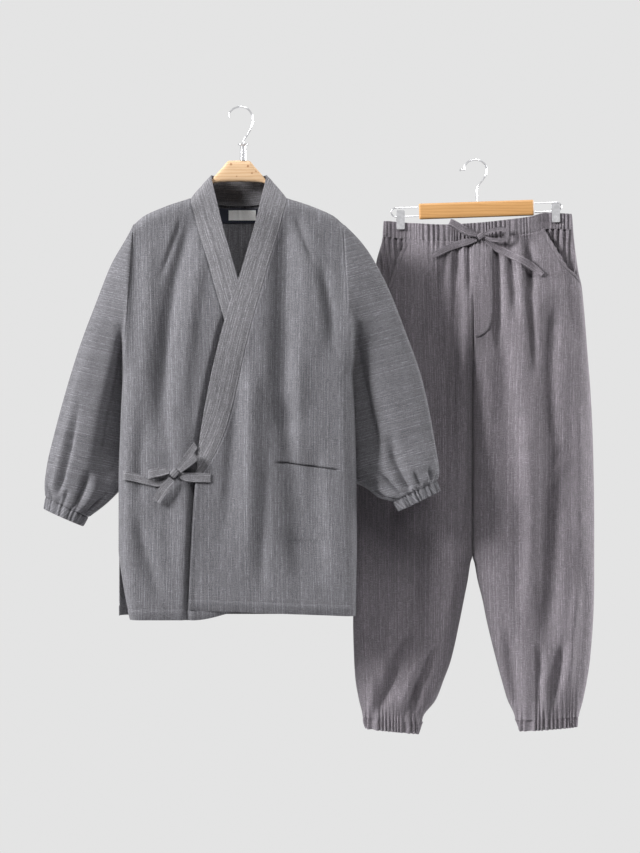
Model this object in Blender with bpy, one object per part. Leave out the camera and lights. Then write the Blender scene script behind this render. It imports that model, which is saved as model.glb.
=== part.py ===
"""Samue set: a wrap jacket and drawstring trousers, each on its own hanger.

X runs to the viewer's right, Y runs away from the viewer and Z is up.
The origin is the inside of the crest of the jacket hanger's hook.
Sizes are in millimetres, and MM turns them into metres where a mesh is made.
"""
import math

import bmesh
import bpy
import numpy as np
from mathutils import Vector
from mathutils.bvhtree import BVHTree

MM = 0.001
WALL = 2.0            # thickness of the cloth walls
DOUBLE_WALL = 2.6     # thickness where the cloth is folded double
SEAM = 0.3            # gap between two pieces at a seam
LAID_GAP = 0.8        # gap between a panel and a piece laid on it
FACING_WALL = 1.6

CLOTH_GREY = (0.155, 0.152, 0.165)
CLOTH_DARK = (0.125, 0.120, 0.132)
BAND_GREY = (0.225, 0.220, 0.235)
NAVY = (0.012, 0.014, 0.030)
LABEL_WHITE = (0.85, 0.85, 0.84)
PINE = (0.72, 0.49, 0.30)
HONEY_WOOD = (0.66, 0.36, 0.13)
CHROME = (0.75, 0.75, 0.77)


def table(columns, rows):
    """A short table whose columns are read by name."""
    values = np.array(rows, dtype=float)
    return {name: values[:, i] for i, name in enumerate(columns.split())}


def along(tab, key, name, at):
    """Smooth value of one column where the key column, which rises or falls, is `at`."""
    x, y = tab[key], tab[name]
    if x[0] > x[-1]:
        x, y = x[::-1], y[::-1]
    step = np.diff(x)
    rise = np.diff(y) / step
    slope = np.empty_like(y)
    slope[0], slope[-1] = rise[0], rise[-1]
    product = rise[:-1] * rise[1:]
    total = np.where(product > 0, rise[:-1] + rise[1:], 1.0)
    slope[1:-1] = np.where(product > 0, 2 * product / total, 0.0)
    at = np.clip(at, x[0], x[-1])
    i = np.clip(np.searchsorted(x, at) - 1, 0, len(step) - 1)
    t = (at - x[i]) / step[i]
    return (y[i] * (1 + 2 * t) * (1 - t) ** 2 + y[i + 1] * t * t * (3 - 2 * t)
            + step[i] * t * (1 - t) * (slope[i] * (1 - t) - slope[i + 1] * t))


def smooth(t):
    """0 below 0, 1 above 1 and an even change between."""
    t = np.clip(t, 0.0, 1.0)
    return t * t * (3 - 2 * t)


def quarter(t):
    """Height of a quarter circle that starts upright at 0 and is level from 1 on."""
    t = np.clip(t, 0.0, 1.0)
    return np.sqrt(1 - (1 - t) ** 2)


def points(x, y, z):
    """Stack three arrays, stretched to one shape, as points."""
    return np.stack(np.broadcast_arrays(np.asarray(x, float), y, z), axis=-1)


def unit(v):
    """Vectors at length one; a zero vector stays zero."""
    size = np.linalg.norm(v, axis=-1, keepdims=True)
    return v / np.where(size > 0, size, 1.0)


def fold_sum(folds, x, z):
    """Outward push of soft folds: each is a line from its top to its bottom, faded at both ends."""
    push = 0.0
    for x_top, z_top, x_low, z_low, push_out, half_width in zip(*(folds[c] for c in FOLD_COLUMNS)):
        t = (z - z_top) / (z_low - z_top)
        fade = smooth(t / 0.25) * smooth((1 - t) / 0.35)
        line = x_top + (x_low - x_top) * t
        push = push + push_out * fade * np.exp(-((x - line) / half_width) ** 2)
    return push


FOLD_COLUMNS = ("x_top", "z_top", "x_low", "z_low", "out", "half_width")

# --- jacket: driving sizes ---------------------------------------------------------------
CENTRE = -2.0                      # the jacket's middle, beside the hook
NECK_HALF, NECK_Z = 88.0, -168.0   # where the collar seam meets the shoulder
TIP_Z = -217.0                     # shoulder tips
UNDERARM_Z = -492.0
HEM_Z = -940.0
VENT_Z = -823.0                    # top of the side vents
FRONT_DEPTH, BACK_DEPTH = 42.0, 38.0
RIDGE_RADIUS = 18.0                # roundness of the shoulder over the hanger
FRONT_ROUND, BACK_ROUND = 26.0, 72.0   # roundness at the side seams
SIDE_SEAM_Y = -12.0                # the side seams lie nearer the front
LAP_LIFT = 6.0                     # how far the overlapping front stands off the one below
NECK_BACK_Y, NECK_BACK_Z = 34.0, -181.0

RIDGE = table("out z", [
    (88, -168), (108, -174), (125, -179.5), (152, -190), (175, -201), (194, -217)])
SIDES = table("z left right", [
    (-492, 214, 211), (-600, 219, 216), (-700, 222, 218), (-945, 222, 219)])
TIP_OUT = {-1: 195.0, 1: 194.0}
# the collar's sewn edge (sewn_) and its free edge (free_), from the neck down the front
COLLAR = table("z sewn_out free_out free_y free_z", [
    (-168, 88, 51, -4, -126),
    (-172, 88, 50, -8, -134),
    (-180, 87.5, 47.5, -12, -147),
    (-194, 83.5, 43.5, -16, -163),
    (-212, 79, 38, -20, -186),
    (-240, 71, 30, -25, -219),
    (-281, 58, 17.5, -31, -263),
    (-330, 44.5, 3, -36, -312),
    (-395, 26, -18, -41, -373),
    (-462, 9.5, -37, -43, -442),
    (-530, -5, -52.5, -43, -510),
    (-594, -22, -64.5, -42.5, -575),
    (-637, -40, -72, -42, -625),
    (-667, -58, -75.5, -42, -660),
    (-689, -74, -78, -42, -687)])
FRONT_EDGE = table("z out", [(-689, -74.5), (-695, -78.5), (-812, -86.5), (-945, -93)])
COLLAR_END_Z = -689.0
FRONT_ROWS = (-168, -176, -192, -215, -250, -300, -355, -408, -460, -515, -570, -625, -667,
              -689, -750, -812, -875, -938)
FRONT_COUNT = 10                   # columns of a front panel
BACK_COLUMNS = (0, 33.7, 62.2, 81.3, 88, 108, 130, 155, 178, 194)

FRONT_FOLDS = table(" ".join(FOLD_COLUMNS), [
    (48, -430, 56, -930, -5, 20), (112, -260, 105, -700, 4, 26),
    (20, -560, -12, -840, -3, 15), (150, -420, 160, -925, -3, 22),
    (-118, -330, -128, -920, -5, 20), (-165, -260, -170, -800, 3, 24)])
BACK_FOLDS = table(" ".join(FOLD_COLUMNS), [
    (-120, -260, -105, -900, 5, 26), (-40, -300, -48, -930, -4, 24),
    (60, -280, 52, -920, 4, 26), (135, -330, 148, -920, -5, 24)])


def ridge_z(out):
    """Height of the shoulder line at a distance out from the middle."""
    return along(RIDGE, "out", "z", out)


def side_out(side, z):
    """Distance of the armhole or side seam from the middle; the armhole's edge is straight."""
    column = "left" if side < 0 else "right"
    underarm = SIDES[column][0]
    straight = TIP_OUT[side] + (underarm - TIP_OUT[side]) * (TIP_Z - z) / (TIP_Z - UNDERARM_Z)
    return np.where(z > UNDERARM_Z, straight, along(SIDES, "z", column, z))


def side_seam_y(z):
    """The seam plane moves from the shoulder ridge towards the front of the side."""
    return SIDE_SEAM_Y * smooth((TIP_Z - z) / (TIP_Z - UNDERARM_Z))


def full_depth(below, depth):
    """Depth of a panel from the middle plane, at a distance below the shoulder ridge."""
    return (RIDGE_RADIUS * quarter(below / RIDGE_RADIUS)
            + (depth - RIDGE_RADIUS) * smooth(below / 250.0))


def armhole_depth(z, depth):
    """Half depth of the armhole's opening, which closes at the underarm."""
    t = np.clip((TIP_Z - z) / (TIP_Z - UNDERARM_Z), 0, 1)
    return full_depth(TIP_Z - z, depth) * np.sqrt(1 - t ** 3)


def panel_depth(side, out, z, depth, rounding, forward):
    """Depth of the front (forward 1) or back (forward -1), from the middle plane."""
    edge = armhole_depth(z, depth) - forward * side_seam_y(z)
    middle = full_depth(ridge_z(out) - z, depth)
    rise = quarter((side_out(side, z) - out) / rounding)
    return edge + (middle - edge) * rise


def lap_lift(out, z):
    """The lapping front stands off the lower one, and comes level beyond it."""
    return LAP_LIFT * smooth((NECK_Z - z) / 110) * (1 - smooth((out - 100) / 70))


def front_fold(side, out, z):
    """Push of the folds, which both fronts share where they lap; none at the seams."""
    inside = smooth((side_out(side, z) - out) / 45) * smooth((ridge_z(out) - z) / 60)
    return inside * fold_sum(FRONT_FOLDS, CENTRE + side * out, z)


def front_y(side, out, z):
    """Y of a front panel's middle surface."""
    depth = panel_depth(side, out, z, FRONT_DEPTH, FRONT_ROUND, 1) + front_fold(side, out, z)
    if side > 0:
        depth = depth + lap_lift(out, z)
    return -depth


def back_y(side, out, z):
    """Y of a back panel's middle surface; the neck seam starts it off the middle plane."""
    neck = NECK_BACK_Y * np.sqrt(1 - np.clip(out / NECK_HALF, 0, 1) ** 2)
    depth = panel_depth(side, out, z, BACK_DEPTH, BACK_ROUND, -1)
    depth = neck + depth * (1 - neck / BACK_DEPTH)
    inside = smooth((side_out(side, z) - out) / 45) * smooth((ridge_z(out) - z) / 90)
    return depth + inside * fold_sum(BACK_FOLDS, CENTRE + side * out, z)


def crowd(t, tightness=0.15):
    """Spread 0..1 so that it is crowded, and level, at 0."""
    return (np.sqrt(t * t + tightness ** 2) - tightness) / (math.sqrt(1 + tightness ** 2) - tightness)


def front_inner(z):
    """Distance out of a front panel's inner edge: the collar seam, then the open edge."""
    return np.where(z > COLLAR_END_Z, along(COLLAR, "z", "sewn_out", z),
                    along(FRONT_EDGE, "z", "out", z))


def front_hem_z(side, across):
    """Hem of a front panel; the lower one hangs 18 mm longer near the side."""
    if side > 0:
        return -932 - 12 * across
    return -930 - 21 * smooth((across - 0.35) / 0.25)


def vent_inset(side, z):
    """The front panel's edge curls in at the side vent, mostly on the left."""
    return (19.0 if side < 0 else 3.0) * np.clip((VENT_Z - z) / (VENT_Z - HEM_Z), 0, 1.1) ** 1.3


def front_point(side, u, v):
    """Front panel: u from the inner edge (0) to the side (1), v from the shoulder to the hem."""
    across = 1 - crowd(1 - u)
    top_out = NECK_HALF + (TIP_OUT[side] - NECK_HALF) * across
    z = ridge_z(top_out) * (1 - v) + front_hem_z(side, across) * v
    inner_z = NECK_Z * (1 - v) + front_hem_z(side, 0.0) * v
    outer_z = TIP_Z * (1 - v) + front_hem_z(side, 1.0) * v
    inner = front_inner(inner_z)
    outer = side_out(side, outer_z)
    out = inner + (outer - inner) * across
    y = front_y(side, out, z) - 8 * smooth((VENT_Z - outer_z) / 120) * (1 - quarter((1 - across) * 8))
    out = out - vent_inset(side, outer_z) * smooth((across - 0.55) / 0.45)
    return points(CENTRE + side * out, y, z)


def back_point(side, u, v):
    """Back panel: u from the centre back (0) to the side (1), v from the neck to the hem."""
    top_out = u * TIP_OUT[side]
    neck = np.clip(top_out / NECK_HALF, 0, 1)
    neck_z = NECK_BACK_Z + (NECK_Z - NECK_BACK_Z) * neck ** 2
    top_z = np.where(top_out < NECK_HALF, neck_z, ridge_z(top_out))
    z = top_z * (1 - v) + (HEM_Z - 4) * v
    outer_z = TIP_Z * (1 - v) + (HEM_Z - 4) * v
    out = u * side_out(side, outer_z)
    fan = np.where(top_out < NECK_HALF, smooth(v * 8), 1.0)
    out = top_out + (out - top_out) * fan
    y = back_y(side, out, z)
    return points(CENTRE + side * out, y, z)


def collar_edges(side, q):
    """Sewn and free edge of the collar: q is 0 at the centre back, 1 at the neck side, 2 at the end."""
    turn = np.clip(q, 0, 1) * math.pi / 2
    z = NECK_Z + (COLLAR_END_Z - NECK_Z) * np.clip(q - 1, 0, 1)
    behind = q < 1
    sewn_out = np.where(behind, NECK_HALF * np.sin(turn), along(COLLAR, "z", "sewn_out", z))
    sewn_y = np.where(behind, NECK_BACK_Y * np.cos(turn), front_y(side, sewn_out, z))
    sewn_z = np.where(behind, NECK_BACK_Z + (NECK_Z - NECK_BACK_Z) * np.sin(turn) ** 2, z)
    free_out = np.where(behind, 51 * np.sin(turn), along(COLLAR, "z", "free_out", z))
    free_z = np.where(behind, -133 + 7 * np.sin(turn), along(COLLAR, "z", "free_z", z))
    free_y = along(COLLAR, "z", "free_y", z) - front_fold(side, free_out, free_z)
    if side > 0:
        free_y = free_y - lap_lift(free_out, free_z)
    free_y = np.where(behind, 27 * np.cos(turn) - 4 * np.sin(turn), free_y)
    sewn = points(CENTRE + side * sewn_out, sewn_y, sewn_z)
    free = points(CENTRE + side * free_out, free_y, free_z)
    return sewn, free


def collar_cut(side, q):
    """Direction across the collar seam, shared by the band and by the panels it is sewn to."""
    sewn, free = collar_edges(side, q)
    ahead, _ = collar_edges(side, np.clip(q + 0.01, 0, 2))
    behind, _ = collar_edges(side, np.clip(q - 0.01, 0, 2))
    run = unit(ahead - behind)
    across = free - sewn
    return unit(across - np.sum(across * run, axis=-1, keepdims=True) * run)


def collar_point(side, u, v):
    """Collar band: u from the sewn edge (0) to the free edge (1), v along it, 0 to 2."""
    sewn, free = collar_edges(side, v)
    return sewn + (free - sewn) * np.asarray(u)[..., None]


# --- sleeves -------------------------------------------------------------------------------
# each ring runs from its outer point (top_) to its inner point (low_), around a centre y
SLEEVES = {
    -1: table("ring top_x top_z low_x low_z y depth", [
        (0, -197, -217, -216, -492, -6, 36),
        (1, -209, -240, -225, -516, 0, 40),
        (2, -238, -289, -226, -548, 10, 42),
        (3, -266, -358, -222, -588, 18, 43),
        (4, -298, -442, -216, -628, 24, 44),
        (5, -327, -535, -213, -662, 26, 45),
        (6, -348, -613, -213, -690, 25, 46),
        (7, -359, -665, -230, -717, 20, 43),
        (8, -364, -702, -257, -743, 13, 36),
        (9, -361.5, -724, -283, -761, 9, 27)]),
    1: table("ring top_x top_z low_x low_z y depth", [
        (0, 192, -217, 209, -492, -6, 36),
        (1, 220, -243, 220, -520, 0, 37),
        (2, 250, -286, 220, -552, 6, 37),
        (3, 275, -334, 217, -590, 11, 37),
        (4, 306, -412, 213, -628, 14, 37),
        (5, 337, -500, 211, -662, 15, 37),
        (6, 357, -591, 215, -690, 15, 37),
        (7, 367, -650, 238, -709, 12, 36),
        (8, 370.5, -678, 263, -727, 8, 32),
        (9, 365.5, -694, 287, -732, 5, 25)])}
SLEEVE_ROWS = (0, 0.6, 1.4, 2.4, 3.6, 5, 6.2, 7.2, 8.2, 9)
SLEEVE_AROUND = 18
# pleats that run up from the cuff: place round the ring in turns, push, width, first ring
PLEATS = table("turn push width first", [
    (0.10, -5, 0.035, 6.0), (0.19, -7, 0.04, 6.6), (0.33, 6, 0.05, 5.6), (0.42, -6, 0.035, 6.8),
    (0.58, -6, 0.04, 6.2), (0.70, 5, 0.05, 6.0), (0.81, -7, 0.04, 6.4), (0.92, 5, 0.04, 6.8)])
CUFFS = {
    -1: table("row top_x top_z low_x low_z y depth", [
        (0, -361.5, -725, -284, -762, 9, 25), (1, -365, -746, -293, -778, 8, 24)]),
    1: table("row top_x top_z low_x low_z y depth", [
        (0, 365, -694.5, 286, -733, 5, 24), (1, 372, -713, 296, -750, 4, 23)])}
CUFF_GAP = 0.6


def ring_point(rows, key, at, turn):
    """A flattened ring: turn 0 is its outer point, and it goes round by the front."""
    angle = turn * 2 * math.pi
    t = (1 - np.cos(angle)) / 2
    x = along(rows, key, "top_x", at) * (1 - t) + along(rows, key, "low_x", at) * t
    z = along(rows, key, "top_z", at) * (1 - t) + along(rows, key, "low_z", at) * t
    swing = np.sin(angle)
    y = along(rows, key, "y", at) - along(rows, key, "depth", at) * np.sign(swing) * abs(swing) ** 0.9
    return points(x, y, z)


def armhole_point(side, turn):
    """The armhole's edge, gone round as the sleeve's rings are."""
    angle = turn * 2 * math.pi
    t = (1 - np.cos(angle)) / 2
    z = TIP_Z + (UNDERARM_Z - TIP_Z) * t
    depth = np.where(np.sin(angle) > 0, armhole_depth(z, FRONT_DEPTH), armhole_depth(z, BACK_DEPTH))
    y = side_seam_y(z) - np.sign(np.sin(angle)) * depth
    return points(CENTRE + side * side_out(side, z), y, z)


def sleeve_point(side, turn, ring):
    """Sleeve: it starts on the armhole, and its pleats deepen towards the cuff."""
    place = ring_point(SLEEVES[side], "ring", ring, turn)
    start = armhole_point(side, turn)
    blend = smooth(ring / 1.6)[..., None]
    place = start * (1 - blend) + place * blend
    middle = ring_point(SLEEVES[side], "ring", ring, 0.25) + ring_point(SLEEVES[side], "ring", ring, 0.75)
    away = unit(place - middle / 2)
    push = 0.0
    for at, out, width, first in zip(*(PLEATS[c] for c in ("turn", "push", "width", "first"))):
        apart = (turn - at + 0.5) % 1.0 - 0.5
        push = push + out * np.exp(-(apart / width) ** 2) * smooth((ring - first) / (8.4 - first))
    push = push * (1 - 0.55 * smooth((ring - 8.3) / 0.7))
    return place + away * np.asarray(push)[..., None]


# --- trousers: driving sizes -----------------------------------------------------------------
TROUSER_Y = 106.0          # the trousers hang behind the jacket
LEG_SPLIT_X = 437.5
CROTCH_Z = -534.0
RISE_TURN_Z = -395.0       # the centre seams begin to turn under here
BAND_HEIGHT = 30.0
CLIP_X = (301.5, 595.5)
WAIST_HALF = 185.0
CLIPPED_DEPTH = 1.7        # half depth of the band between the jaws of a clip
WAIST = table("x top_z", [
    (262, -204.5), (313, -208.5), (376, -211.5), (442, -208.5), (495, -203), (546, -196), (574, -188.5),
    (602, -189.5), (632, -191.5)])
LEGS = table("z left_outer left_inner right_inner right_outer depth", [
    (-188, 271, 437.5, 437.5, 625, 13),
    (-235, 268, 437.5, 437.5, 629, 17),
    (-279, 257, 437.5, 437.5, 634.5, 28),
    (-354, 246, 437.5, 437.5, 646, 39),
    (-449, 234, 437.5, 437.5, 654, 45),
    (-543, 226, 437.5, 437.5, 661, 47),
    (-638, 220, 437.5, 437.5, 665, 47),
    (-770, 216, 437, 438.5, 667, 47),
    (-846, 214.5, 434, 441, 667, 46),
    (-883, 213.5, 428.5, 447.5, 667, 46),
    (-921, 213, 421, 457, 666.5, 45),
    (-959, 212.5, 413.5, 464.5, 665, 44),
    (-1035, 214.5, 396.5, 483, 659, 41),
    (-1072, 217, 383, 493, 653.5, 38),
    (-1110, 223.5, 368, 504, 646, 33),
    (-1142, 230.5, 344, 518, 638, 27),
    (-1156, 231, 341, 520, 637, 26)])
LEG_HEM_Z = {-1: (-1153.0, -1142.0), 1: (-1148.0, -1141.5)}     # at the inner and outer side
LEG_ROWS_BELOW = (0.24, 0.29, 0.335, 0.41, 0.51, 0.62, 0.72, 0.81, 0.89, 0.95, 1.0)
HEM_CUFFS = {
    -1: table("row top_x top_z low_x low_z y depth", [
        (0, 231.5, -1143, 342, -1154.5, 106, 24.5), (1, 235, -1164, 336, -1174, 106, 23)]),
    1: table("row top_x top_z low_x low_z y depth", [
        (0, 636.5, -1142.5, 520, -1149.5, 106, 24.5), (1, 635, -1161, 528, -1169, 106, 23)])}
# how far across a front panel its slanted pocket mouth lies, row by row, until it meets the side seam
POCKET_MOUTH = {-1: table("v reach", [(0, 0.655), (0.052, 0.70), (0.104, 0.745), (0.14, 0.81), (0.176, 1)]),
                1: table("v reach", [(0, 0.635), (0.04, 0.707), (0.08, 0.793), (0.115, 1)])}
FACING_DROP = 3.2          # how deep the facing lies under the mouth
FACING_END_DROP = (1.7, 1.25)   # how much deeper its last row lies, at the mouth and at the side seam
FACING_TURN_IN = 1 / 12    # share of the front's width that the facing runs on under its edge
FACING_STOP = 0.85         # share of its last row's height that is kept, short of the side seam
LEG_FOLDS = table(" ".join(FOLD_COLUMNS), [
    (408, -244, 400, -490, -11, 9), (424, -244, 430, -520, 5, 9), (490, -244, 500, -460, -9, 9),
    (515, -240, 516, -520, 6, 13), (545, -236, 551, -600, -11, 10), (576, -250, 590, -560, 4, 14),
    (340, -244, 330, -520, -5, 14), (372, -244, 366, -480, 4, 13),
    (556, -700, 575, -960, -6, 16), (618, -930, 592, -1120, -5, 14), (345, -900, 272, -1110, -6, 16)])
SEAT_FOLDS = table(" ".join(FOLD_COLUMNS), [
    (300, -260, 290, -620, 5, 16), (360, -250, 372, -560, -6, 14), (410, -250, 404, -500, 5, 13),
    (470, -244, 476, -520, -6, 13), (525, -240, 520, -560, 6, 15), (580, -250, 596, -640, -5, 16),
    (310, -820, 300, -1110, -5, 18), (570, -830, 585, -1110, 5, 18)])


def waist_z(x):
    """Top edge of the waistband, which sags between the clips."""
    return along(WAIST, "x", "top_z", x)


def pinch(x, below):
    """Share of its own depth that the cloth keeps beside the two clips."""
    near = sum(np.exp(-(np.maximum(abs(x - clip) - 10, 0) / 22.0) ** 2) for clip in CLIP_X)
    return 1 - near * np.exp(-(np.maximum(below - 14, 0) / 34.0) ** 2)


def leg_section(side, half, u, z):
    """One half (front -1, back 1) of a leg at one height: u from the inner seam to the side seam."""
    name = "left" if side < 0 else "right"
    inner = along(LEGS, "z", name + "_inner", z)
    apart = 0.15 + 1.35 * smooth((RISE_TURN_Z + 40 - z) / 40)
    inner = inner + side * apart
    outer = along(LEGS, "z", name + "_outer", z)
    depth = along(LEGS, "z", "depth", z)
    under = np.clip((RISE_TURN_Z - z) / (RISE_TURN_Z - CROTCH_Z), 0, 1)
    inner_depth = depth * np.sqrt(1 - under ** 2)
    apex = (inner + outer) / 2
    angle = (u - 0.5) * math.pi
    x = apex + np.where(u > 0.5, outer - apex, apex - inner) * np.sin(angle)
    bulge = np.maximum(np.cos(angle), 0) ** 0.7
    floor = np.where(u > 0.5, 0.0, inner_depth)
    y = floor + (depth - floor) * bulge
    share = pinch(x, waist_z(x) - z)
    y = y * share + np.minimum(y, CLIPPED_DEPTH) * (1 - share)
    folds = LEG_FOLDS if half < 0 else SEAT_FOLDS
    edge = smooth((1 - u) / 0.22) * np.where(z < RISE_TURN_Z, smooth(u / 0.22), 1.0)
    y = y + edge * fold_sum(folds, x, z)
    return points(x, TROUSER_Y + half * y, z)


def waist_at(w):
    """Top edge height at a place along the band, from the left side (-1) to the right side (1)."""
    return waist_z(LEG_SPLIT_X + np.sign(w) * (0.5 - 0.5 * np.cos(w * math.pi)) * WAIST_HALF)


def leg_point(side, half, u, v):
    """Trouser panel below the waistband: v from the waist seam (0) to the hem seam (1)."""
    top = waist_at(side * u) - BAND_HEIGHT
    inner_z, outer_z = LEG_HEM_Z[side]
    low = inner_z + (outer_z - inner_z) * (0.5 - 0.5 * np.cos(u * math.pi))
    return leg_section(side, half, u, top * (1 - v) + low * v)


def mouth_reach(side, v):
    """How far across its row a front panel reaches: to the pocket mouth, or to the side seam."""
    return np.interp(v, POCKET_MOUTH[side]["v"], POCKET_MOUTH[side]["reach"])


def leg_rows(side):
    """Rows of a leg: those of its pocket mouth, then those below."""
    return np.concatenate([POCKET_MOUTH[side]["v"], LEG_ROWS_BELOW])


def band_point(half, w, v):
    """Waistband half: w from the left side (-1) to the right side (1), v from top to bottom."""
    left = leg_section(-1, half, np.abs(w), waist_at(w) - BAND_HEIGHT * v)
    right = leg_section(1, half, np.abs(w), waist_at(w) - BAND_HEIGHT * v)
    return np.where((w < 0)[..., None], left, right)


# --- mesh making ---------------------------------------------------------------------------------
def clear_scene():
    for thing in list(bpy.data.objects):
        bpy.data.objects.remove(thing, do_unlink=True)


def finish_object(name, mesh, colour, roughness, metallic, smooth_angle=35):
    """Put a mesh in the scene under its own name with its own material."""
    material = bpy.data.materials.new(name)
    material.use_nodes = True
    shader = material.node_tree.nodes["Principled BSDF"]
    shader.inputs["Base Color"].default_value = (*colour, 1)
    shader.inputs["Roughness"].default_value = roughness
    shader.inputs["Metallic"].default_value = metallic
    mesh.materials.append(material)
    mesh.shade_smooth()
    mesh.set_sharp_from_angle(angle=math.radians(smooth_angle))
    thing = bpy.data.objects.new(name, mesh)
    bpy.context.scene.collection.objects.link(thing)
    return thing


def mesh_from(name, places, faces):
    """A closed mesh, its faces turned outwards, from points in millimetres."""
    mesh = bpy.data.meshes.new(name)
    mesh.from_pydata([tuple(p * MM) for p in places], [], faces)
    shape = bmesh.new()
    shape.from_mesh(mesh)
    bmesh.ops.recalc_face_normals(shape, faces=shape.faces)
    if shape.calc_volume(signed=True) < 0:
        bmesh.ops.reverse_faces(shape, faces=shape.faces)
    shape.to_mesh(mesh)
    shape.free()
    return mesh


def cloth(name, middle, normals, wall=WALL, closed=False, cuts=None, colour=CLOTH_GREY, seams=()):
    """A cloth wall from a grid of middle points.

    `cuts` maps an edge (u0, u1, v0, v1) to the direction that its end face looks along, and
    `seams` names the edges that are trimmed by half a seam gap.
    """
    middle, normals = middle.copy(), normals.copy()
    edges = {"u0": np.s_[:, 0], "u1": np.s_[:, -1], "v0": np.s_[0, :], "v1": np.s_[-1, :]}
    nexts = {"u0": np.s_[:, 1], "u1": np.s_[:, -2], "v0": np.s_[1, :], "v1": np.s_[-2, :]}
    for edge, direction in (cuts or {}).items():
        along_cut = np.sum(normals[edges[edge]] * direction, axis=-1, keepdims=True)
        normals[edges[edge]] = unit(normals[edges[edge]] - along_cut * direction)
    for edge in seams:
        inward = unit(middle[nexts[edge]] - middle[edges[edge]])
        middle[edges[edge]] += inward * SEAM / 2
    rows, cols = middle.shape[:2]
    outer = (middle + normals * wall / 2).reshape(-1, 3)
    inner = (middle - normals * wall / 2).reshape(-1, 3)
    shift = rows * cols
    faces = []
    for r in range(rows - 1):
        for c in range(cols if closed else cols - 1):
            a, b = r * cols + c, r * cols + (c + 1) % cols
            d, e = a + cols, b + cols
            faces.append((a, b, e, d))
            faces.append((a + shift, d + shift, e + shift, b + shift))
    for r in (0, rows - 1):
        for c in range(cols if closed else cols - 1):
            a, b = r * cols + c, r * cols + (c + 1) % cols
            faces.append((a, b, b + shift, a + shift))
    if not closed:
        for c in (0, cols - 1):
            for r in range(rows - 1):
                a, b = r * cols + c, (r + 1) * cols + c
                faces.append((a, b, b + shift, a + shift))
    mesh = mesh_from(name, np.concatenate([outer, inner]), faces)
    return finish_object(name, mesh, colour, 0.9, 0.0)


def grid_of(form, us, vs, outward, low=0.0, high=1.0, v_low=0.0, v_high=1.0):
    """Points and normals of a form over a grid; the normals look the way `outward` says."""
    step = 0.002
    u, v = np.meshgrid(us, vs)
    du = form(np.clip(u + step, low, high), v) - form(np.clip(u - step, low, high), v)
    dv = form(u, np.clip(v + step, v_low, v_high)) - form(u, np.clip(v - step, v_low, v_high))
    normals = unit(np.cross(du, dv))
    middle = form(u, v)
    agreement = np.sum(normals * outward(middle))
    return middle, normals * (1 if agreement > 0 else -1)


def facing(x, y, z):
    """An outward direction that is the same everywhere."""
    return lambda middle: np.array([x, y, z], float)


X_CUT, Y_CUT = np.array([1.0, 0, 0]), np.array([0, 1.0, 0])


# --- jacket --------------------------------------------------------------------------------------
def front_v(side):
    """Rows of a front panel, at the heights where the collar has its stations."""
    return (NECK_Z - np.array(FRONT_ROWS, float)) / (NECK_Z - front_hem_z(side, 0.0))


def armhole_cut(side):
    """Direction square to the armhole's straight edge, in the picture plane."""
    low = SIDES["left" if side < 0 else "right"][0]
    run = np.array([side * (low - TIP_OUT[side]), 0, UNDERARM_Z - TIP_Z])
    return unit(np.array([-run[2], 0, run[0]]))


def side_cuts(side, outer_z, normals):
    """End-face directions down a panel's side: armhole, side seam, then the open vent.

    At the underarm the wall is turned level, as the sleeve's lowest point is.
    """
    cuts = np.where((outer_z > UNDERARM_Z + 6)[:, None], armhole_cut(side), Y_CUT)
    cuts[outer_z < VENT_Z - 1] = 0
    underarm = np.argmin(abs(outer_z - UNDERARM_Z))
    cuts[underarm] = armhole_cut(side)
    normals[underarm, -1] = (0, 0, -1)
    return cuts


def front_grid(side):
    vs = np.clip(front_v(side), 0, 1)
    vs[-1] = 1.0
    us = np.linspace(0, 1, FRONT_COUNT)
    middle, normals = grid_of(lambda u, v: front_point(side, u, v), us, vs, facing(0, -1, 0))
    return vs, middle, normals


def front_panel(name, side):
    vs, middle, normals = front_grid(side)
    heights = NECK_Z * (1 - vs) + front_hem_z(side, 0.0) * vs
    q = 1 + np.clip((NECK_Z - heights) / (NECK_Z - COLLAR_END_Z), 0, 1)
    collar_side = collar_cut(side, q)
    collar_side[heights < COLLAR_END_Z - 1] = 0
    outer_z = TIP_Z * (1 - vs) + front_hem_z(side, 1.0) * vs
    side_cut = side_cuts(side, outer_z, normals)
    return cloth(name, middle, normals, cuts={"v0": Y_CUT, "u0": collar_side, "u1": side_cut},
                 seams=("v0", "u0", "u1"))


def back_panel(name, side):
    us = np.array(BACK_COLUMNS) / TIP_OUT[side]
    us[-1] = 1.0
    vs = np.array([0, 0.012, 0.035, 0.075, 0.14, 0.21, 0.295, 0.379, 0.48, 0.60, 0.72, 0.834, 1.0])
    middle, normals = grid_of(lambda u, v: back_point(side, u, v), us, vs, facing(0, 1, 0))
    outs = np.array(BACK_COLUMNS)
    q = np.arcsin(np.clip(outs / NECK_HALF, 0, 1)) / (math.pi / 2)
    top_cut = collar_cut(side, np.clip(q, 0, 0.999))
    top_cut[outs >= NECK_HALF] = Y_CUT
    outer_z = TIP_Z * (1 - vs) + (HEM_Z - 4) * vs
    side_cut = side_cuts(side, outer_z, normals)
    return cloth(name, middle, normals, cuts={"v0": top_cut, "u0": X_CUT, "u1": side_cut},
                 seams=("v0", "u0", "u1"))


def collar(name, side):
    back = np.arcsin(np.array(BACK_COLUMNS[:4]) / NECK_HALF) / (math.pi / 2)
    heights = np.array([row for row in FRONT_ROWS if row >= COLLAR_END_Z], float)
    stations = np.concatenate([back, 1 + (NECK_Z - heights) / (NECK_Z - COLLAR_END_Z)])
    us = np.array([0, 0.5, 1.0])
    middle, normals = grid_of(lambda u, v: collar_point(side, u, v), us, stations,
                              lambda m: np.array([side * 0.6, -0.2, 0.6]), v_high=2.0)
    cloth(name, middle, normals, wall=DOUBLE_WALL, cuts={"u0": collar_cut(side, stations), "v0": X_CUT},
          seams=("u0", "v0"), colour=BAND_GREY)


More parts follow.
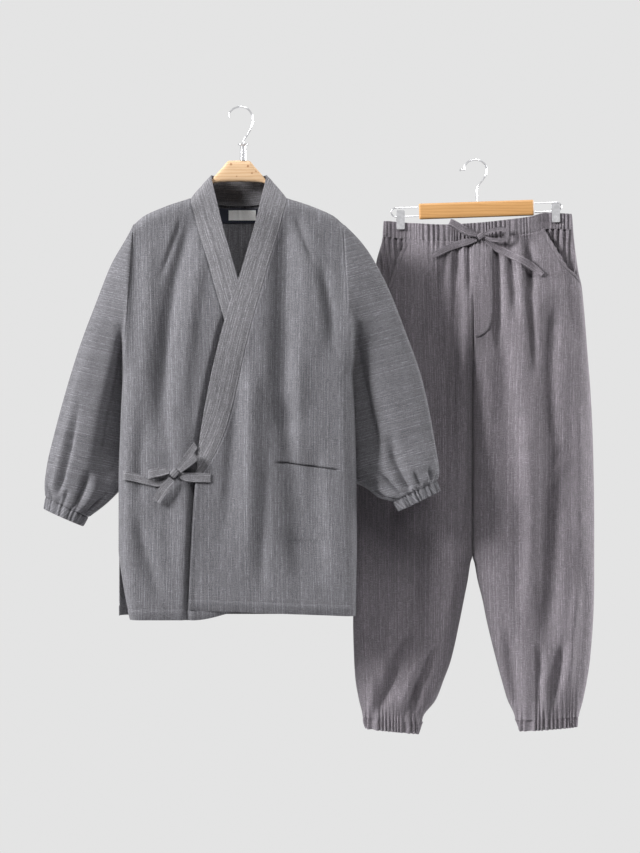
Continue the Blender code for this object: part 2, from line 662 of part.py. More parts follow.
def sleeve(name, side):
    turns = np.arange(SLEEVE_AROUND) / SLEEVE_AROUND
    rings = np.array(SLEEVE_ROWS, float)
    middle, normals = grid_of(lambda u, v: sleeve_point(side, u, v), turns, rings,
                              lambda m: m - m.mean(axis=1, keepdims=True), low=-1, high=2, v_high=9.0)
    cloth(name, middle, normals, closed=True, cuts={"v0": armhole_cut(side)}, seams=("v0", "v1"))


def cuff(name, rows, count=16):
    turns = np.arange(count) / count
    us = np.array([0, 0.5, 1.0])
    middle, normals = grid_of(lambda u, v: ring_point(rows, "row", v, u), turns, us,
                              lambda m: m - m.mean(axis=1, keepdims=True), low=-1, high=2)
    middle[0] += unit(middle[1] - middle[0]) * CUFF_GAP
    cloth(name, middle, normals, wall=DOUBLE_WALL, closed=True, colour=BAND_GREY)


# --- trousers ------------------------------------------------------------------------------------
FRONT_COLUMNS = np.linspace(0, 1, 13)
SEAT_COLUMNS = np.array([0, 0.14, 0.28, 0.42, 0.56, 0.67, 0.77, 0.88, 1.0])
FACING_COLUMNS = {-1: np.array([-1.0, 0.0, 0.3, 0.62, 1.0]), 1: np.array([-1.0, 0.0, 0.15, 0.4, 1.0])}


def leg_panel(name, side, half):
    """Front (half -1) or back (half 1) of one leg; a front stops at its pocket mouth."""
    columns = FRONT_COLUMNS if half < 0 else SEAT_COLUMNS
    vs = leg_rows(side)

    def form(u, v):
        reach = mouth_reach(side, v) if half < 0 else 1.0
        return leg_point(side, half, u * reach, v)

    middle, normals = grid_of(form, columns, vs, facing(0, half, 0))
    heights = middle[:, 0, 2]
    inner_cut = np.where((heights > RISE_TURN_Z + 1)[:, None], X_CUT, 0 * X_CUT)
    inner_cut[heights < CROTCH_Z + 1] = Y_CUT
    ends_at_seam = mouth_reach(side, vs) > 0.999 if half < 0 else vs >= 0
    outer_cut = np.where(ends_at_seam[:, None], Y_CUT, 0 * Y_CUT)
    return cloth(name, middle, normals, cuts={"u0": inner_cut, "u1": outer_cut},
                 seams=("v0", "v1", "u0", "u1"))


def facing_reach(column, reach):
    """Place of a facing column across its row; column -1 is under the front's edge, 0 at the mouth."""
    under_edge = reach * (1 + column * FACING_TURN_IN)
    return np.where(column < 0, under_edge, reach + column * (1 - reach))


def pocket_facing(name, side):
    """Side panel seen inside the pocket mouth; it runs a little way under the front's edge.

    Its last row stops just short of where the mouth meets the side seam.
    """
    vs = POCKET_MOUTH[side]["v"]

    def form(column, v):
        return leg_point(side, -1, facing_reach(column, mouth_reach(side, v)), v)

    middle, normals = grid_of(form, FACING_COLUMNS[side], vs, facing(0, -1, 0), low=-1, v_high=vs[-1])
    normals[-1] = normals[-2]
    drop = FACING_DROP * (1 - smooth(FACING_COLUMNS[side] * 1.2))
    middle[:-1] -= normals[:-1] * drop[:, None]
    last_drop = FACING_DROP * np.interp(FACING_COLUMNS[side], (0, 1), FACING_END_DROP)
    middle[-1] -= normals[-1] * last_drop[:, None]
    middle[-1] = middle[-2] + (middle[-1] - middle[-2]) * FACING_STOP
    cloth(name, middle, normals, wall=FACING_WALL, cuts={"u1": Y_CUT}, seams=("v0", "v1", "u1"),
          colour=CLOTH_DARK)


def waist_columns(side, half):
    """Columns of one side of the waistband: those of the panels sewn below it."""
    if half > 0:
        return SEAT_COLUMNS
    reach = POCKET_MOUTH[side]["reach"][0]
    return np.concatenate([FRONT_COLUMNS * reach, facing_reach(FACING_COLUMNS[side][2:], reach)])


def waistband(name, half):
    w = np.concatenate([-waist_columns(-1, half)[:0:-1], waist_columns(1, half)])
    vs = np.array([0, 1.0])
    middle, normals = grid_of(lambda u, v: band_point(half, u, v), w, vs, facing(0, half, 0), low=-1)
    return cloth(name, middle, normals, wall=DOUBLE_WALL, cuts={"u0": Y_CUT, "u1": Y_CUT},
                 seams=("u0", "u1", "v1"))


# --- pieces laid on the panels, ties and cords ------------------------------------------------------
class Surface:
    """The faces of finished pieces, asked for the y of what is met first along +Y."""

    def __init__(self, *things):
        self.trees = []
        for thing in things:
            places = [v.co[:] for v in thing.data.vertices]
            faces = [p.vertices[:] for p in thing.data.polygons]
            self.trees.append(BVHTree.FromPolygons(places, faces))

    def y(self, x, z, start=-300.0, reach=0.0):
        """The nearest y at a place, or within a small reach of it."""
        found = []
        for dx, dz in ((0, 0), (reach, 0), (-reach, 0), (0, reach), (0, -reach)):
            origin = Vector((x + dx, start, z + dz)) * MM
            hits = [tree.ray_cast(origin, Vector((0, 1, 0)))[0] for tree in self.trees]
            found += [hit.y / MM for hit in hits if hit is not None]
        return min(found)


def laid_piece(name, surface, xs, zs, gap=LAID_GAP, wall=1.4, start=-300.0, reach=0.0, colour=CLOTH_GREY):
    """A flat piece laid on a surface: xs holds one row of x places for each height in zs."""
    middle = np.array([[(x, surface.y(x, z, start, reach) - gap - wall / 2, z) for x in row]
                       for row, z in zip(xs, zs)])
    normals = np.zeros_like(middle)
    normals[..., 1] = -1
    return cloth(name, middle, normals, wall=wall, colour=colour)


STRIP_COLUMNS = "x y z lean width"


def strip(name, rows, count, wall=1.8, colour=BAND_GREY):
    """A flat strip along a route.

    `lean` is the direction of its width in the picture plane, in degrees from +X.
    """
    route = table(STRIP_COLUMNS, rows)
    route["at"] = np.arange(len(rows), dtype=float)
    at = np.linspace(0, len(rows) - 1, count)
    x, y, z, lean, width = (along(route, "at", c, at) for c in STRIP_COLUMNS.split())
    centre = points(x, y, z)
    lean = np.radians(lean)
    half = points(np.cos(lean), 0, np.sin(lean)) * width[:, None] / 2
    middle = np.stack([centre - half, centre + half], axis=1)
    run = np.gradient(centre, axis=0)
    normals = unit(np.cross(run, half))
    return cloth(name, middle, np.stack([normals, normals], axis=1), wall=wall, colour=colour)


def knot(name, centre, size, colour=BAND_GREY):
    """A knot: a rounded, slightly squared lump."""
    shape = bmesh.new()
    bmesh.ops.create_uvsphere(shape, u_segments=10, v_segments=6, radius=1.0)
    for v in shape.verts:
        v.co = Vector([math.copysign(abs(c) ** 0.75, c) * s / 2 for c, s in zip(v.co, size)])
        v.co += Vector(centre)
    places = np.array([v.co[:] for v in shape.verts])
    faces = [[v.index for v in f.verts] for f in shape.faces]
    shape.free()
    finish_object(name, mesh_from(name, places, faces), colour, 0.9, 0.0)


# the pocket's columns and whole rows are those of the front panel's grid
POCKET_COLUMNS = (4, 5, 6, 7, 7.36)
POCKET_ROWS = (13, 14)
POCKET_TOP = (-661.0, -676.0)      # heights of its two upper corners
POCKET_BOTTOM = -803.0
POCKET_WALL = 1.4
TIE_WIDTH = 18.0
TIE_KNOT = (-119.0, -679.0)
CORD_KNOT = (452.0, -234.0)


def on_grid(grid, row, col):
    """The place in a panel's grid at a row and column that may lie between its own."""
    r = min(int(row), grid.shape[0] - 2)
    c = min(int(col), grid.shape[1] - 2)
    left = grid[r, c] + (grid[r + 1, c] - grid[r, c]) * (row - r)
    right = grid[r, c + 1] + (grid[r + 1, c + 1] - grid[r, c + 1]) * (row - r)
    return left + (right - left) * (col - c)


def row_at(grid, col, z):
    """The row, whole or between, where a panel's column crosses a height."""
    rows = np.arange(len(grid))
    heights = [on_grid(grid, row, col)[2] for row in rows]
    return np.interp(-z, -np.array(heights), rows)


def patch_pocket():
    """The pocket is made from the points of the panel that it lies on, moved out."""
    _, middle, normals = front_grid(1)
    tops = np.interp(POCKET_COLUMNS, (POCKET_COLUMNS[0], POCKET_COLUMNS[-1]), POCKET_TOP)
    rows = [[row_at(middle, col, top) for col, top in zip(POCKET_COLUMNS, tops)]]
    rows += [[row] * len(POCKET_COLUMNS) for row in POCKET_ROWS]
    rows += [[row_at(middle, col, POCKET_BOTTOM) for col in POCKET_COLUMNS]]
    wall = POCKET_WALL
    out = WALL / 2 + LAID_GAP + wall / 2
    places = np.array([[on_grid(middle, row, col) for row, col in zip(line, POCKET_COLUMNS)]
                       for line in rows])
    outward = np.array([[unit(on_grid(normals, row, col)) for row, col in zip(line, POCKET_COLUMNS)]
                        for line in rows])
    cloth("patch_pocket", places + outward * out, outward, wall=wall)


def jacket_ties(front):
    kx, kz = TIE_KNOT
    ky = front.y(kx, kz) - 8.5
    knot("tie_knot", (kx, ky, kz), (15, 11, 17))

    def lay(x, z, lift):
        return front.y(x, z) - lift

    strip("tie_side_strap", [
        (-215, lay(-212, -683, 3.0), -683, 90, TIE_WIDTH), (-209, lay(-209, -684, 5.0), -684, 90, 17),
        (-192, lay(-192, -687, 4.0), -687, 84, 16), (-170, lay(-170, -695, 3.6), -695, 80, 11),
        (-150, lay(-150, -699, 3.4), -699, 92, 10), (-132, lay(-132, -694, 3.4), -694, 110, 8)], 9)
    strip("tie_loop_left", [
        (-128.5, ky + 1.5, -680, 84, 8), (-146, lay(-146, -681, 6.6), -681, 86, 15),
        (-162, lay(-162, -683, 6.8), -683, 88, 16), (-168, lay(-168, -682, 9.0), -682, 90, 16),
        (-162, lay(-162, -680, 11.4), -680, 90, 17), (-146, lay(-146, -677, 11.4), -677, 88, 16),
        (-128.5, ky - 2.2, -676, 84, 8)], 13)
    strip("tie_tail_left", [
        (-124.5, ky - 3.5, -689.5, -36, 12), (-133, ky - 2.5, -701, -37, 16),
        (-145, ky - 1.0, -717, -37, 17), (-154, ky + 1.0, -731, -30, 17)], 6)
    strip("tie_loop_right", [
        (-110, ky + 1, -674, 126, 8), (-97, ky - 1, -664, 122, 12), (-84, ky - 3, -653, 122, 13),
        (-78.5, ky - 5.5, -648, 124, 13), (-83, ky - 8, -652, 126, 13), (-97, ky - 7, -664, 126, 12),
        (-110, ky - 3, -675, 126, 8)], 13)
    strip("tie_tail_right", [
        (-112, ky + 3.2, -669, 130, 9), (-101, ky + 3.0, -655, 128, 12), (-88, ky + 2.6, -638, 126, 13),
        (-80, ky + 2.4, -627, 120, 13)], 6)
    strip("tie_front_strap", [
        (-110, ky + 1, -683, 92, 11), (-98, ky + 0.5, -686, 90, 16),
        (-84, lay(-74, -687, 3.4), -687, 90, 17), (-72, lay(-72, -687, 2.6), -687, 90, 17),
        (-53, lay(-53, -688, 2.6), -688, 90, 16)], 8)


def neck_pieces(back):
    xs = np.linspace(-56, 52, 8)
    zs = np.array([-185, -198, -213])
    start = 10.0
    patch = laid_piece("neck_patch", back, np.tile(xs, (3, 1)), zs, wall=0.8, start=start, colour=NAVY)
    rows = np.tile(np.linspace(-22, 29, 6), (2, 1))
    laid_piece("neck_label", Surface(patch), rows, np.array([-188.5, -207.5]), gap=0.4, wall=0.6,
               start=start, colour=LABEL_WHITE)


def fly(front):
    zs = np.array([-255, -272, -308, -340, -378, -402, -417, -424])
    right = np.array([475, 475.5, 476, 476, 475, 470, 459, 447])
    xs = np.array([np.linspace(440.5, edge, 6) for edge in right])
    laid_piece("fly", front, xs, zs, gap=1.6, reach=4.5)


def drawstring(front):
    kx, kz = CORD_KNOT
    ky = front.y(kx, kz) - 8.0
    knot("drawstring_knot", (kx, ky, kz), (15, 10, 13))
    strip("drawstring_loop_left", [
        (444, ky + 1.5, -233.5, 66, 7), (430, ky + 1.0, -229, 62, 12), (410, ky + 1.0, -218, 60, 13),
        (396, ky - 0.5, -209, 62, 13), (393.5, ky - 2.5, -207.5, 62, 13), (398, ky - 4.5, -209, 62, 13),
        (412, ky - 4.5, -217, 60, 13), (430, ky - 3.5, -227, 62, 12), (444, ky - 2, -232, 66, 7)], 15,
        wall=1.5)
    strip("drawstring_loop_right", [
        (460, ky + 0.5, -230, 100, 6), (474, ky - 1, -223, 104, 8), (490, ky - 2.5, -220.5, 90, 8),
        (501, ky - 4, -226, 30, 8), (501, ky - 4.5, -236, -20, 8), (490, ky - 4.0, -242, -80, 8),
        (474, ky - 3, -241, -80, 8), (460, ky - 1.5, -237, -76, 6)], 17, wall=1.5)

    def lay(x, z, lift):
        return front.y(x, z) - lift

    strip("drawstring_tail_long", [
        (460, ky + 1.2, -242.5, 58, 7), (482, lay(482, -256.5, 7.2), -256.5, 58, 12),
        (506, lay(506, -268, 5.0), -268, 60, 14), (530, lay(530, -280, 5.0), -280, 62, 14),
        (552, lay(552, -294, 9.0), -294, 60, 13), (568, lay(568, -307, 4.5), -307, 52, 9)], 11, wall=1.5)
    strip("drawstring_tail_short", [
        (444.5, ky + 2.4, -241, 104, 6), (424, lay(424, -245, 4.4), -245, 104, 13),
        (404, lay(404, -251, 3.6), -251, 112, 13), (380, lay(380, -261, 3.6), -261, 118, 13),
        (361, lay(361, -271, 3.5), -271, 120, 11)], 9, wall=1.5)


# --- hangers ------------------------------------------------------------------------------------------
HANGER_WOOD = table("out top bottom half_y", [
    (0, -98, -137.5, 6.0), (18, -98.5, -137.8, 6.0), (31, -111.5, -138.3, 5.6), (42, -123.8, -139.3, 5.0),
    (51, -134, -142.8, 4.4), (60, -145, -158.8, 4.4), (74, -161, -181, 4.8), (88, -174, -197, 5.8),
    (108, -179.5, -205, 7.0), (130, -186.5, -213, 7.2), (155, -198, -224, 6.6), (170, -207, -231, 5.5),
    (178, -212, -231, 4.2)])
HOOK_WIRE, CLIP_WIRE = 1.8, 1.3          # radii
FERRULE = table("radius z", [(3.0, -66), (10.0, -67.6), (10.0, -69.4), (5.5, -71), (6.5, -97.7)])
FERRULE_X = 6.0
JACKET_HOOK = ((-20.5, -17), (-20.2, -12), (-16.5, -5.5), (-10, -0.8), (1, 2), (11, -0.2), (18.5, -6.2),
               (22.6, -15), (23.2, -26), (20.5, -38), (14, -50), (8, -59), (6.1, -62.8), (6.0, -65.6))
TROUSER_HOOK = ((413, -108.6), (417, -106.6), (421.5, -107), (422.4, -101.5), (426.5, -94.6),
                (434, -89.6), (443.6, -87.7), (453.5, -90), (461, -96.2), (464.4, -105), (463.5, -114.5),
                (458, -124.8), (450, -135), (446.2, -143), (445.3, -154), (445.2, -166.6))
SLAT = {"x": 445.0, "z": -182.3, "half_length": 108.5, "half_height": 15.0, "half_y": 5.0}
SLAT_TILT = math.radians(2.0)
WIRE_SPREAD, WIRE_REACH = 8.4, 161.0


def rounded_route(route, y, count):
    """Evenly spread points of a smooth curve through a hook's own points."""
    x, z = np.array(route, float).T
    step = np.concatenate([[0], np.cumsum(np.hypot(np.diff(x), np.diff(z)))])
    spread = {"at": step, "x": x, "z": z}
    at = np.linspace(0, step[-1], count)
    return points(along(spread, "at", "x", at), y, along(spread, "at", "z", at))


def wire(name, route, radius, sides=2):
    """A wire: a poly curve with a round bevel and closed ends."""
    curve = bpy.data.curves.new(name, "CURVE")
    curve.dimensions = "3D"
    curve.bevel_depth = radius * MM
    curve.bevel_resolution = sides
    curve.use_fill_caps = True
    spline = curve.splines.new("POLY")
    spline.points.add(len(route) - 1)
    for point, place in zip(spline.points, route):
        point.co = (*(place * MM), 1)
    thing = bpy.data.objects.new(name, curve)
    bpy.context.scene.collection.objects.link(thing)
    material = bpy.data.materials.new(name)
    material.use_nodes = True
    shader = material.node_tree.nodes["Principled BSDF"]
    shader.inputs["Base Color"].default_value = (*CHROME, 1)
    shader.inputs["Roughness"].default_value = 0.15
    shader.inputs["Metallic"].default_value = 1.0
    curve.materials.append(material)


def loft(name, sections, colour, roughness, metallic):
    """A closed body through rings of equal point count."""
    rings, count = len(sections), len(sections[0])
    faces = [tuple(range(count)), tuple((rings - 1) * count + i for i in range(count))]
    for r in range(rings - 1):
        for i in range(count):
            a, b = r * count + i, r * count + (i + 1) % count
            faces.append((a, b, b + count, a + count))
    mesh = mesh_from(name, np.concatenate(sections), faces)
    finish_object(name, mesh, colour, roughness, metallic, smooth_angle=30)


def jacket_hanger():
    outs = HANGER_WOOD["out"]
    chamfer = 2.4
    sections = []
    for out, side in [(o, -1) for o in outs[:0:-1]] + [(o, 1) for o in outs]:
        i = np.argmin(abs(outs - out))
        top, bottom, half = (HANGER_WOOD[c][i] for c in ("top", "bottom", "half_y"))
        x = CENTRE + side * out
        sections.append(np.array([
            (x, half, bottom + chamfer), (x, half, top - chamfer), (x, half - chamfer, top),
            (x, chamfer - half, top), (x, -half, top - chamfer), (x, -half, bottom + chamfer),
            (x, chamfer - half, bottom), (x, half - chamfer, bottom)]))
    loft("jacket_hanger_wood", sections, PINE, 0.5, 0.0)
    turns = np.arange(16) * 2 * math.pi / 16
    rings = [points(FERRULE_X + r * np.cos(turns), r * np.sin(turns), z)
             for r, z in zip(FERRULE["radius"], FERRULE["z"])]
    loft("jacket_hanger_ferrule", rings, CHROME, 0.2, 1.0)
    wire("jacket_hanger_hook", rounded_route(JACKET_HOOK, 0.0, 26), HOOK_WIRE)


def slat_point(l, y, h):
    """A place on the clip hanger: l along it, h above its middle."""
    x = SLAT["x"] + l * math.cos(SLAT_TILT) - h * math.sin(SLAT_TILT)
    z = SLAT["z"] + l * math.sin(SLAT_TILT) + h * math.cos(SLAT_TILT)
    return (x, TROUSER_Y + y, z)


def trouser_hanger():
    long, high, deep, ease = SLAT["half_length"], SLAT["half_height"], SLAT["half_y"], 1.5
    ring = [(deep, ease - high), (deep, high - ease), (deep - ease, high), (ease - deep, high),
            (-deep, high - ease), (-deep, ease - high), (ease - deep, -high), (deep - ease, -high)]
    sections = [np.array([slat_point(l, y, h) for y, h in ring]) for l in (-long, long)]
    loft("trouser_hanger_slat", sections, HONEY_WOOD, 0.45, 0.0)
    wire("trouser_hanger_hook", rounded_route(TROUSER_HOOK, TROUSER_Y, 34), HOOK_WIRE)
    for name, side in (("left", -1), ("right", 1)):
        turn = np.linspace(math.pi / 2, -math.pi / 2, 9)
        start = long + CLIP_WIRE + 0.4
        bend = WIRE_REACH - WIRE_SPREAD
        flat = [(start, WIRE_SPREAD)] + [(bend + WIRE_SPREAD * math.cos(t), WIRE_SPREAD * math.sin(t))
                                         for t in turn] + [(start, -WIRE_SPREAD)]
        wire("clip_wire_" + name, np.array([slat_point(side * l, 0, h) for l, h in flat]), CLIP_WIRE)


CLIP_WIDTH, CLIP_PLATE = 15.0, 1.0
# one jaw seen from the side: distance from the middle plane and height above the jaw's tip
CLIP_JAW = ((5.6, 0.0), (4.0, 14.0), (5.6, 20.0), (6.6, 27.0), (6.2, 36.0))
CLIPS = {"left": (-143.5, -220.0), "right": (150.5, -206.5)}      # place along the slat, height of the tip


def clips():
    for name, (l, tip) in CLIPS.items():
        x = slat_point(l, 0, 0)[0]
        for jaw, side in (("front", -1), ("back", 1)):
            sections = []
            for offset, up in CLIP_JAW:
                near = TROUSER_Y + side * offset
                far = TROUSER_Y + side * (offset + CLIP_PLATE)
                sections.append(np.array([(x + s * CLIP_WIDTH / 2, y, tip + up)
                                          for y, s in ((near, -1), (near, 1), (far, 1), (far, -1))]))
            loft("clip_%s_%s" % (name, jaw), sections, CHROME, 0.25, 1.0)
        turns = np.arange(12) * 2 * math.pi / 12
        middle = slat_point(l, 0, 0)[2]
        barrel = [points(x + end, TROUSER_Y + 4.2 * np.cos(turns), middle + 4.2 * np.sin(turns))
                  for end in (-7.0, 7.0)]
        loft("clip_%s_spring" % name, barrel, CHROME, 0.3, 1.0)


# --- the whole set ---------------------------------------------------------------------------------
def jacket():
    over = front_panel("front_over", 1)
    under = front_panel("front_under", -1)
    backs = []
    for name, side in (("left", -1), ("right", 1)):
        backs.append(back_panel("back_" + name, side))
        sleeve("sleeve_" + name, side)
        cuff("cuff_" + name, CUFFS[side])
    collar("collar_over", 1)
    collar("collar_under", -1)
    front = Surface(over, under)
    patch_pocket()
    jacket_ties(front)
    neck_pieces(Surface(*backs))


def trousers():
    pieces = []
    for name, side in (("left", -1), ("right", 1)):
        pieces.append(leg_panel("leg_front_" + name, side, -1))
        leg_panel("leg_back_" + name, side, 1)
        pocket_facing("pocket_facing_" + name, side)
        cuff("hem_cuff_" + name, HEM_CUFFS[side])
    pieces.append(waistband("waistband_front", -1))
    waistband("waistband_back", 1)
    front = Surface(*pieces)
    fly(front)
    drawstring(front)


clear_scene()
jacket()
trousers()
jacket_hanger()
trouser_hanger()
clips()
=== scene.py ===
import math

import bmesh
import bpy
import numpy as np
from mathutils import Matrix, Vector
from mathutils.bvhtree import BVHTree

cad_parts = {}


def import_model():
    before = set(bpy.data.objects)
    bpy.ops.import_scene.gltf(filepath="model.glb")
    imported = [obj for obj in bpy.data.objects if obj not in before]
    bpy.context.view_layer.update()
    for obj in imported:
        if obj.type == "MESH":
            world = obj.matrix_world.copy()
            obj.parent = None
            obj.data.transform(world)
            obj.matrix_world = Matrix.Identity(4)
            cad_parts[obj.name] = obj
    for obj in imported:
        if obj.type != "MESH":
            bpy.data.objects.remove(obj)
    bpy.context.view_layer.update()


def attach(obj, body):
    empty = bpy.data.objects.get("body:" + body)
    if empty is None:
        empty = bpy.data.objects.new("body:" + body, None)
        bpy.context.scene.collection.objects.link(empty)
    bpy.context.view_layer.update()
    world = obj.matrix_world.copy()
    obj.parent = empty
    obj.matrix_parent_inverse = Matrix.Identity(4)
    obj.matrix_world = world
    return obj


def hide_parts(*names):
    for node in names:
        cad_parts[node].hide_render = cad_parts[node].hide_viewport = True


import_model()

MM = 0.001
CLOTH_WALL = 1.2           # thickness of the cloth


def table(columns, rows):
    """A short table whose columns are read by name."""
    values = np.array(rows, dtype=float)
    return {name: values[:, i] for i, name in enumerate(columns.split())}


def along(tab, key, name, at):
    """Smooth value of one column where the key column, which rises or falls, is `at`."""
    x, y = tab[key], tab[name]
    if x[0] > x[-1]:
        x, y = x[::-1], y[::-1]
    step = np.diff(x)
    rise = np.diff(y) / step
    slope = np.empty_like(y)
    slope[0], slope[-1] = rise[0], rise[-1]
    product = rise[:-1] * rise[1:]
    total = np.where(product > 0, rise[:-1] + rise[1:], 1.0)
    slope[1:-1] = np.where(product > 0, 2 * product / total, 0.0)
    at = np.clip(at, x[0], x[-1])
    i = np.clip(np.searchsorted(x, at) - 1, 0, len(step) - 1)
    t = (at - x[i]) / step[i]
    return (y[i] * (1 + 2 * t) * (1 - t) ** 2 + y[i + 1] * t * t * (3 - 2 * t)
            + step[i] * t * (1 - t) * (slope[i] * (1 - t) - slope[i + 1] * t))


def smooth(t):
    """0 below 0, 1 above 1 and an even change between."""
    t = np.clip(t, 0.0, 1.0)
    return t * t * (3 - 2 * t)


def quarter(t):
    """Height of a quarter circle that starts upright at 0 and is level from 1 on."""
    t = np.clip(t, 0.0, 1.0)
    return np.sqrt(1 - (1 - t) ** 2)


def crown(t):
    """Height of a half round from 0 to 1: nothing at both ends and 1 in the middle."""
    return np.sqrt(np.clip(4 * t * (1 - t), 0, 1))


def ring_turns(count):
    """Even turns round a ring, from its inner point."""
    return (np.arange(count) / count + 0.5) % 1.0


def points(x, y, z):
    """Stack three arrays, stretched to one shape, as points."""
    return np.stack(np.broadcast_arrays(np.asarray(x, float), y, z), axis=-1)


def unit(v):
    """Vectors at length one; a zero vector stays zero."""
    size = np.linalg.norm(v, axis=-1, keepdims=True)
    return v / np.where(size > 0, size, 1.0)


def rows_of(tab, columns):
    """The rows of a table, each as its named columns."""
    return zip(*(tab[name] for name in columns.split()))


FOLD_COLUMNS = "x_top z_top x_low z_low bend out half_width"


def fold_sum(folds, x, z):
    """Outward push of soft folds: each is a line, bent at its middle, and faded at both ends."""
    push = 0.0
    for x_top, z_top, x_low, z_low, bend, out, half_width in rows_of(folds, FOLD_COLUMNS):
        t = (z - z_top) / (z_low - z_top)
        head = min(0.35 * (z_top - z_low), 70.0)
        fade = smooth((z_top - z) / head) * smooth((1 - t) / 0.35)
        line = x_top + (x_low - x_top) * t + 4 * bend * t * (1 - t)
        push = push + out * fade * np.exp(-((x - line) / half_width) ** 2)
    return push


def ripple(x, z, seed):
    """Shallow upright unevenness of hung cloth, about a millimetre either way."""
    return (0.55 * np.sin(x / 11 + z / 150 + seed) * np.sin(z / 63 + x / 90 + 2 * seed)
            + 0.45 * np.sin(x / 23 - z / 210 + 1.7 * seed) * np.sin(z / 97 - x / 70 + seed)
            + 0.25 * np.sin(x / 6.1 + z / 88 + 3 * seed) * np.sin(z / 41 + x / 33 + seed))


# --- jacket: driving sizes --------------------
CENTRE = -2.0                      # the jacket's middle, beside the hook
NECK_HALF, NECK_Z = 88.0, -168.0   # where the collar seam meets the shoulder
TIP_Z = -217.0                     # shoulder tips
UNDERARM_Z = -492.0
HEM_Z = -940.0
VENT_Z = -823.0                    # top of the side vents
FRONT_DEPTH, BACK_DEPTH = 42.0, 38.0
RIDGE_RADIUS = 18.0                # roundness of the shoulder over the hanger
FRONT_ROUND, BACK_ROUND = 26.0, 72.0   # roundness at the side seams
SIDE_SEAM_Y = -12.0                # the side seams lie nearer the front
LAP_LIFT = 6.0                     # how far the overlapping front stands off the one below
LAP_SINK = 9.0                     # how far the one below hangs back there
NECK_BACK_Y, NECK_BACK_Z = 34.0, -181.0

RIDGE = table("out z", [
    (88, -168), (108, -174), (125, -179.5), (152, -190), (175, -201), (194, -217)])
SIDES = table("z left right", [
    (-492, 214, 211), (-600, 219, 216), (-700, 222, 218), (-945, 222, 219)])
TIP_OUT = {-1: 195.0, 1: 194.0}
# the collar's sewn edge (sewn_) and its free edge (free_), from the neck down the front
COLLAR = table("z sewn_out free_out free_y free_z", [
    (-168, 88, 51, -4, -126),
    (-172, 88, 50, -8, -134),
    (-180, 87.5, 47.5, -12, -147),
    (-194, 83.5, 43.5, -16, -163),
    (-212, 79, 38, -20, -186),
    (-240, 71, 30, -25, -219),
    (-281, 58, 17.5, -31, -263),
    (-330, 44.5, 3, -36, -312),
    (-395, 26, -18, -41, -373),
    (-462, 9.5, -37, -43, -442),
    (-530, -5, -52.5, -43, -510),
    (-594, -22, -64.5, -42.5, -575),
    (-637, -40, -72, -42, -625),
    (-667, -58, -75.5, -42, -660),
    (-689, -74, -78, -42, -687)])
FRONT_EDGE = table("z out", [(-689, -74.5), (-695, -78.5), (-812, -86.5), (-945, -93)])
COLLAR_END_Z = -689.0

FRONT_FOLDS = table(FOLD_COLUMNS, [
    (-84, -185, -141, -660, -21, -11, 15), (-60, -240, -104, -620, -12, 5, 14),
    (-196, -730, -150, -930, 0, -8, 15), (-170, -230, -190, -600, 8, 5, 18),
    (-112, -560, -106, -930, 6, 6, 18), (-176, -560, -190, -760, 0, -5, 14),
    (84, -185, 84, -640, 0, -17, 24), (126, -190, 168, -470, 0, 7, 14),
    (90, -520, 122, -945, 0, -16, 29), (26, -480, 22, -880, 0, 3, 18),
    (110, -200, 178, -500, 15, -10, 15), (104, -430, 112, -700, 0, 7, 15),
    (2, -440, -30, -850, 0, -5, 12), (24, -460, 14, -910, 0, 6, 15),
    (146, -600, 152, -930, -6, -7, 17),
    (196, -480, 196, -900, 0, 4, 12), (48, -620, 40, -930, 0, -4, 10),
    (-102, -190, -150, -330, 0, -4, 6), (98, -188, 140, -300, 0, -4, 6)])
BACK_FOLDS = table(FOLD_COLUMNS, [
    (-120, -240, -105, -900, 12, 9, 22), (-40, -260, -48, -930, -8, -9, 20),
    (60, -250, 52, -920, 10, 9, 22), (135, -300, 148, -920, -10, -10, 20),
    (-165, -420, -172, -930, 0, -8, 16), (8, -420, 14, -760, 6, 6, 14),
    (98, -480, 92, -930, -6, -7, 14), (-82, -560, -76, -935, 0, -6, 12)])


def ridge_z(out):
    """Height of the shoulder line at a distance out from the middle."""
    return along(RIDGE, "out", "z", out)


def side_out(side, z):
    """Distance of the armhole or side seam from the middle; the armhole's edge is straight."""
    column = "left" if side < 0 else "right"
    underarm = SIDES[column][0]
    straight = TIP_OUT[side] + (underarm - TIP_OUT[side]) * (TIP_Z - z) / (TIP_Z - UNDERARM_Z)
    return np.where(z > UNDERARM_Z, straight, along(SIDES, "z", column, z))


def side_seam_y(z):
    """The seam plane moves from the shoulder ridge towards the front of the side."""
    return SIDE_SEAM_Y * smooth((TIP_Z - z) / (TIP_Z - UNDERARM_Z))


def full_depth(below, depth):
    """Depth of a panel from the middle plane, at a distance below the shoulder ridge."""
    return (RIDGE_RADIUS * quarter(below / RIDGE_RADIUS)
            + (depth - RIDGE_RADIUS) * smooth(below / 250.0))


def armhole_depth(z, depth):
    """Half depth of the armhole's opening, which closes at the underarm."""
    t = np.clip((TIP_Z - z) / (TIP_Z - UNDERARM_Z), 0, 1)
    return full_depth(TIP_Z - z, depth) * np.sqrt(1 - t ** 3)


def panel_depth(side, out, z, depth, rounding, forward):
    """Depth of the front (forward 1) or back (forward -1), from the middle plane."""
    edge = armhole_depth(z, depth) - forward * side_seam_y(z)
    middle = full_depth(ridge_z(out) - z, depth)
    rise = quarter((side_out(side, z) - out) / rounding)
    return edge + (middle - edge) * rise


def lap_lift(out, z):
    """The lapping front stands off the lower one, and comes level beyond it."""
    return LAP_LIFT * smooth((NECK_Z - z) / 110) * (1 - smooth((out - 100) / 70))


def lap_sink(x, z):
    """The lower front sinks away under the one that laps over it."""
    return LAP_SINK * smooth((-400 - z) / 100) * smooth((x + 45) / 45)


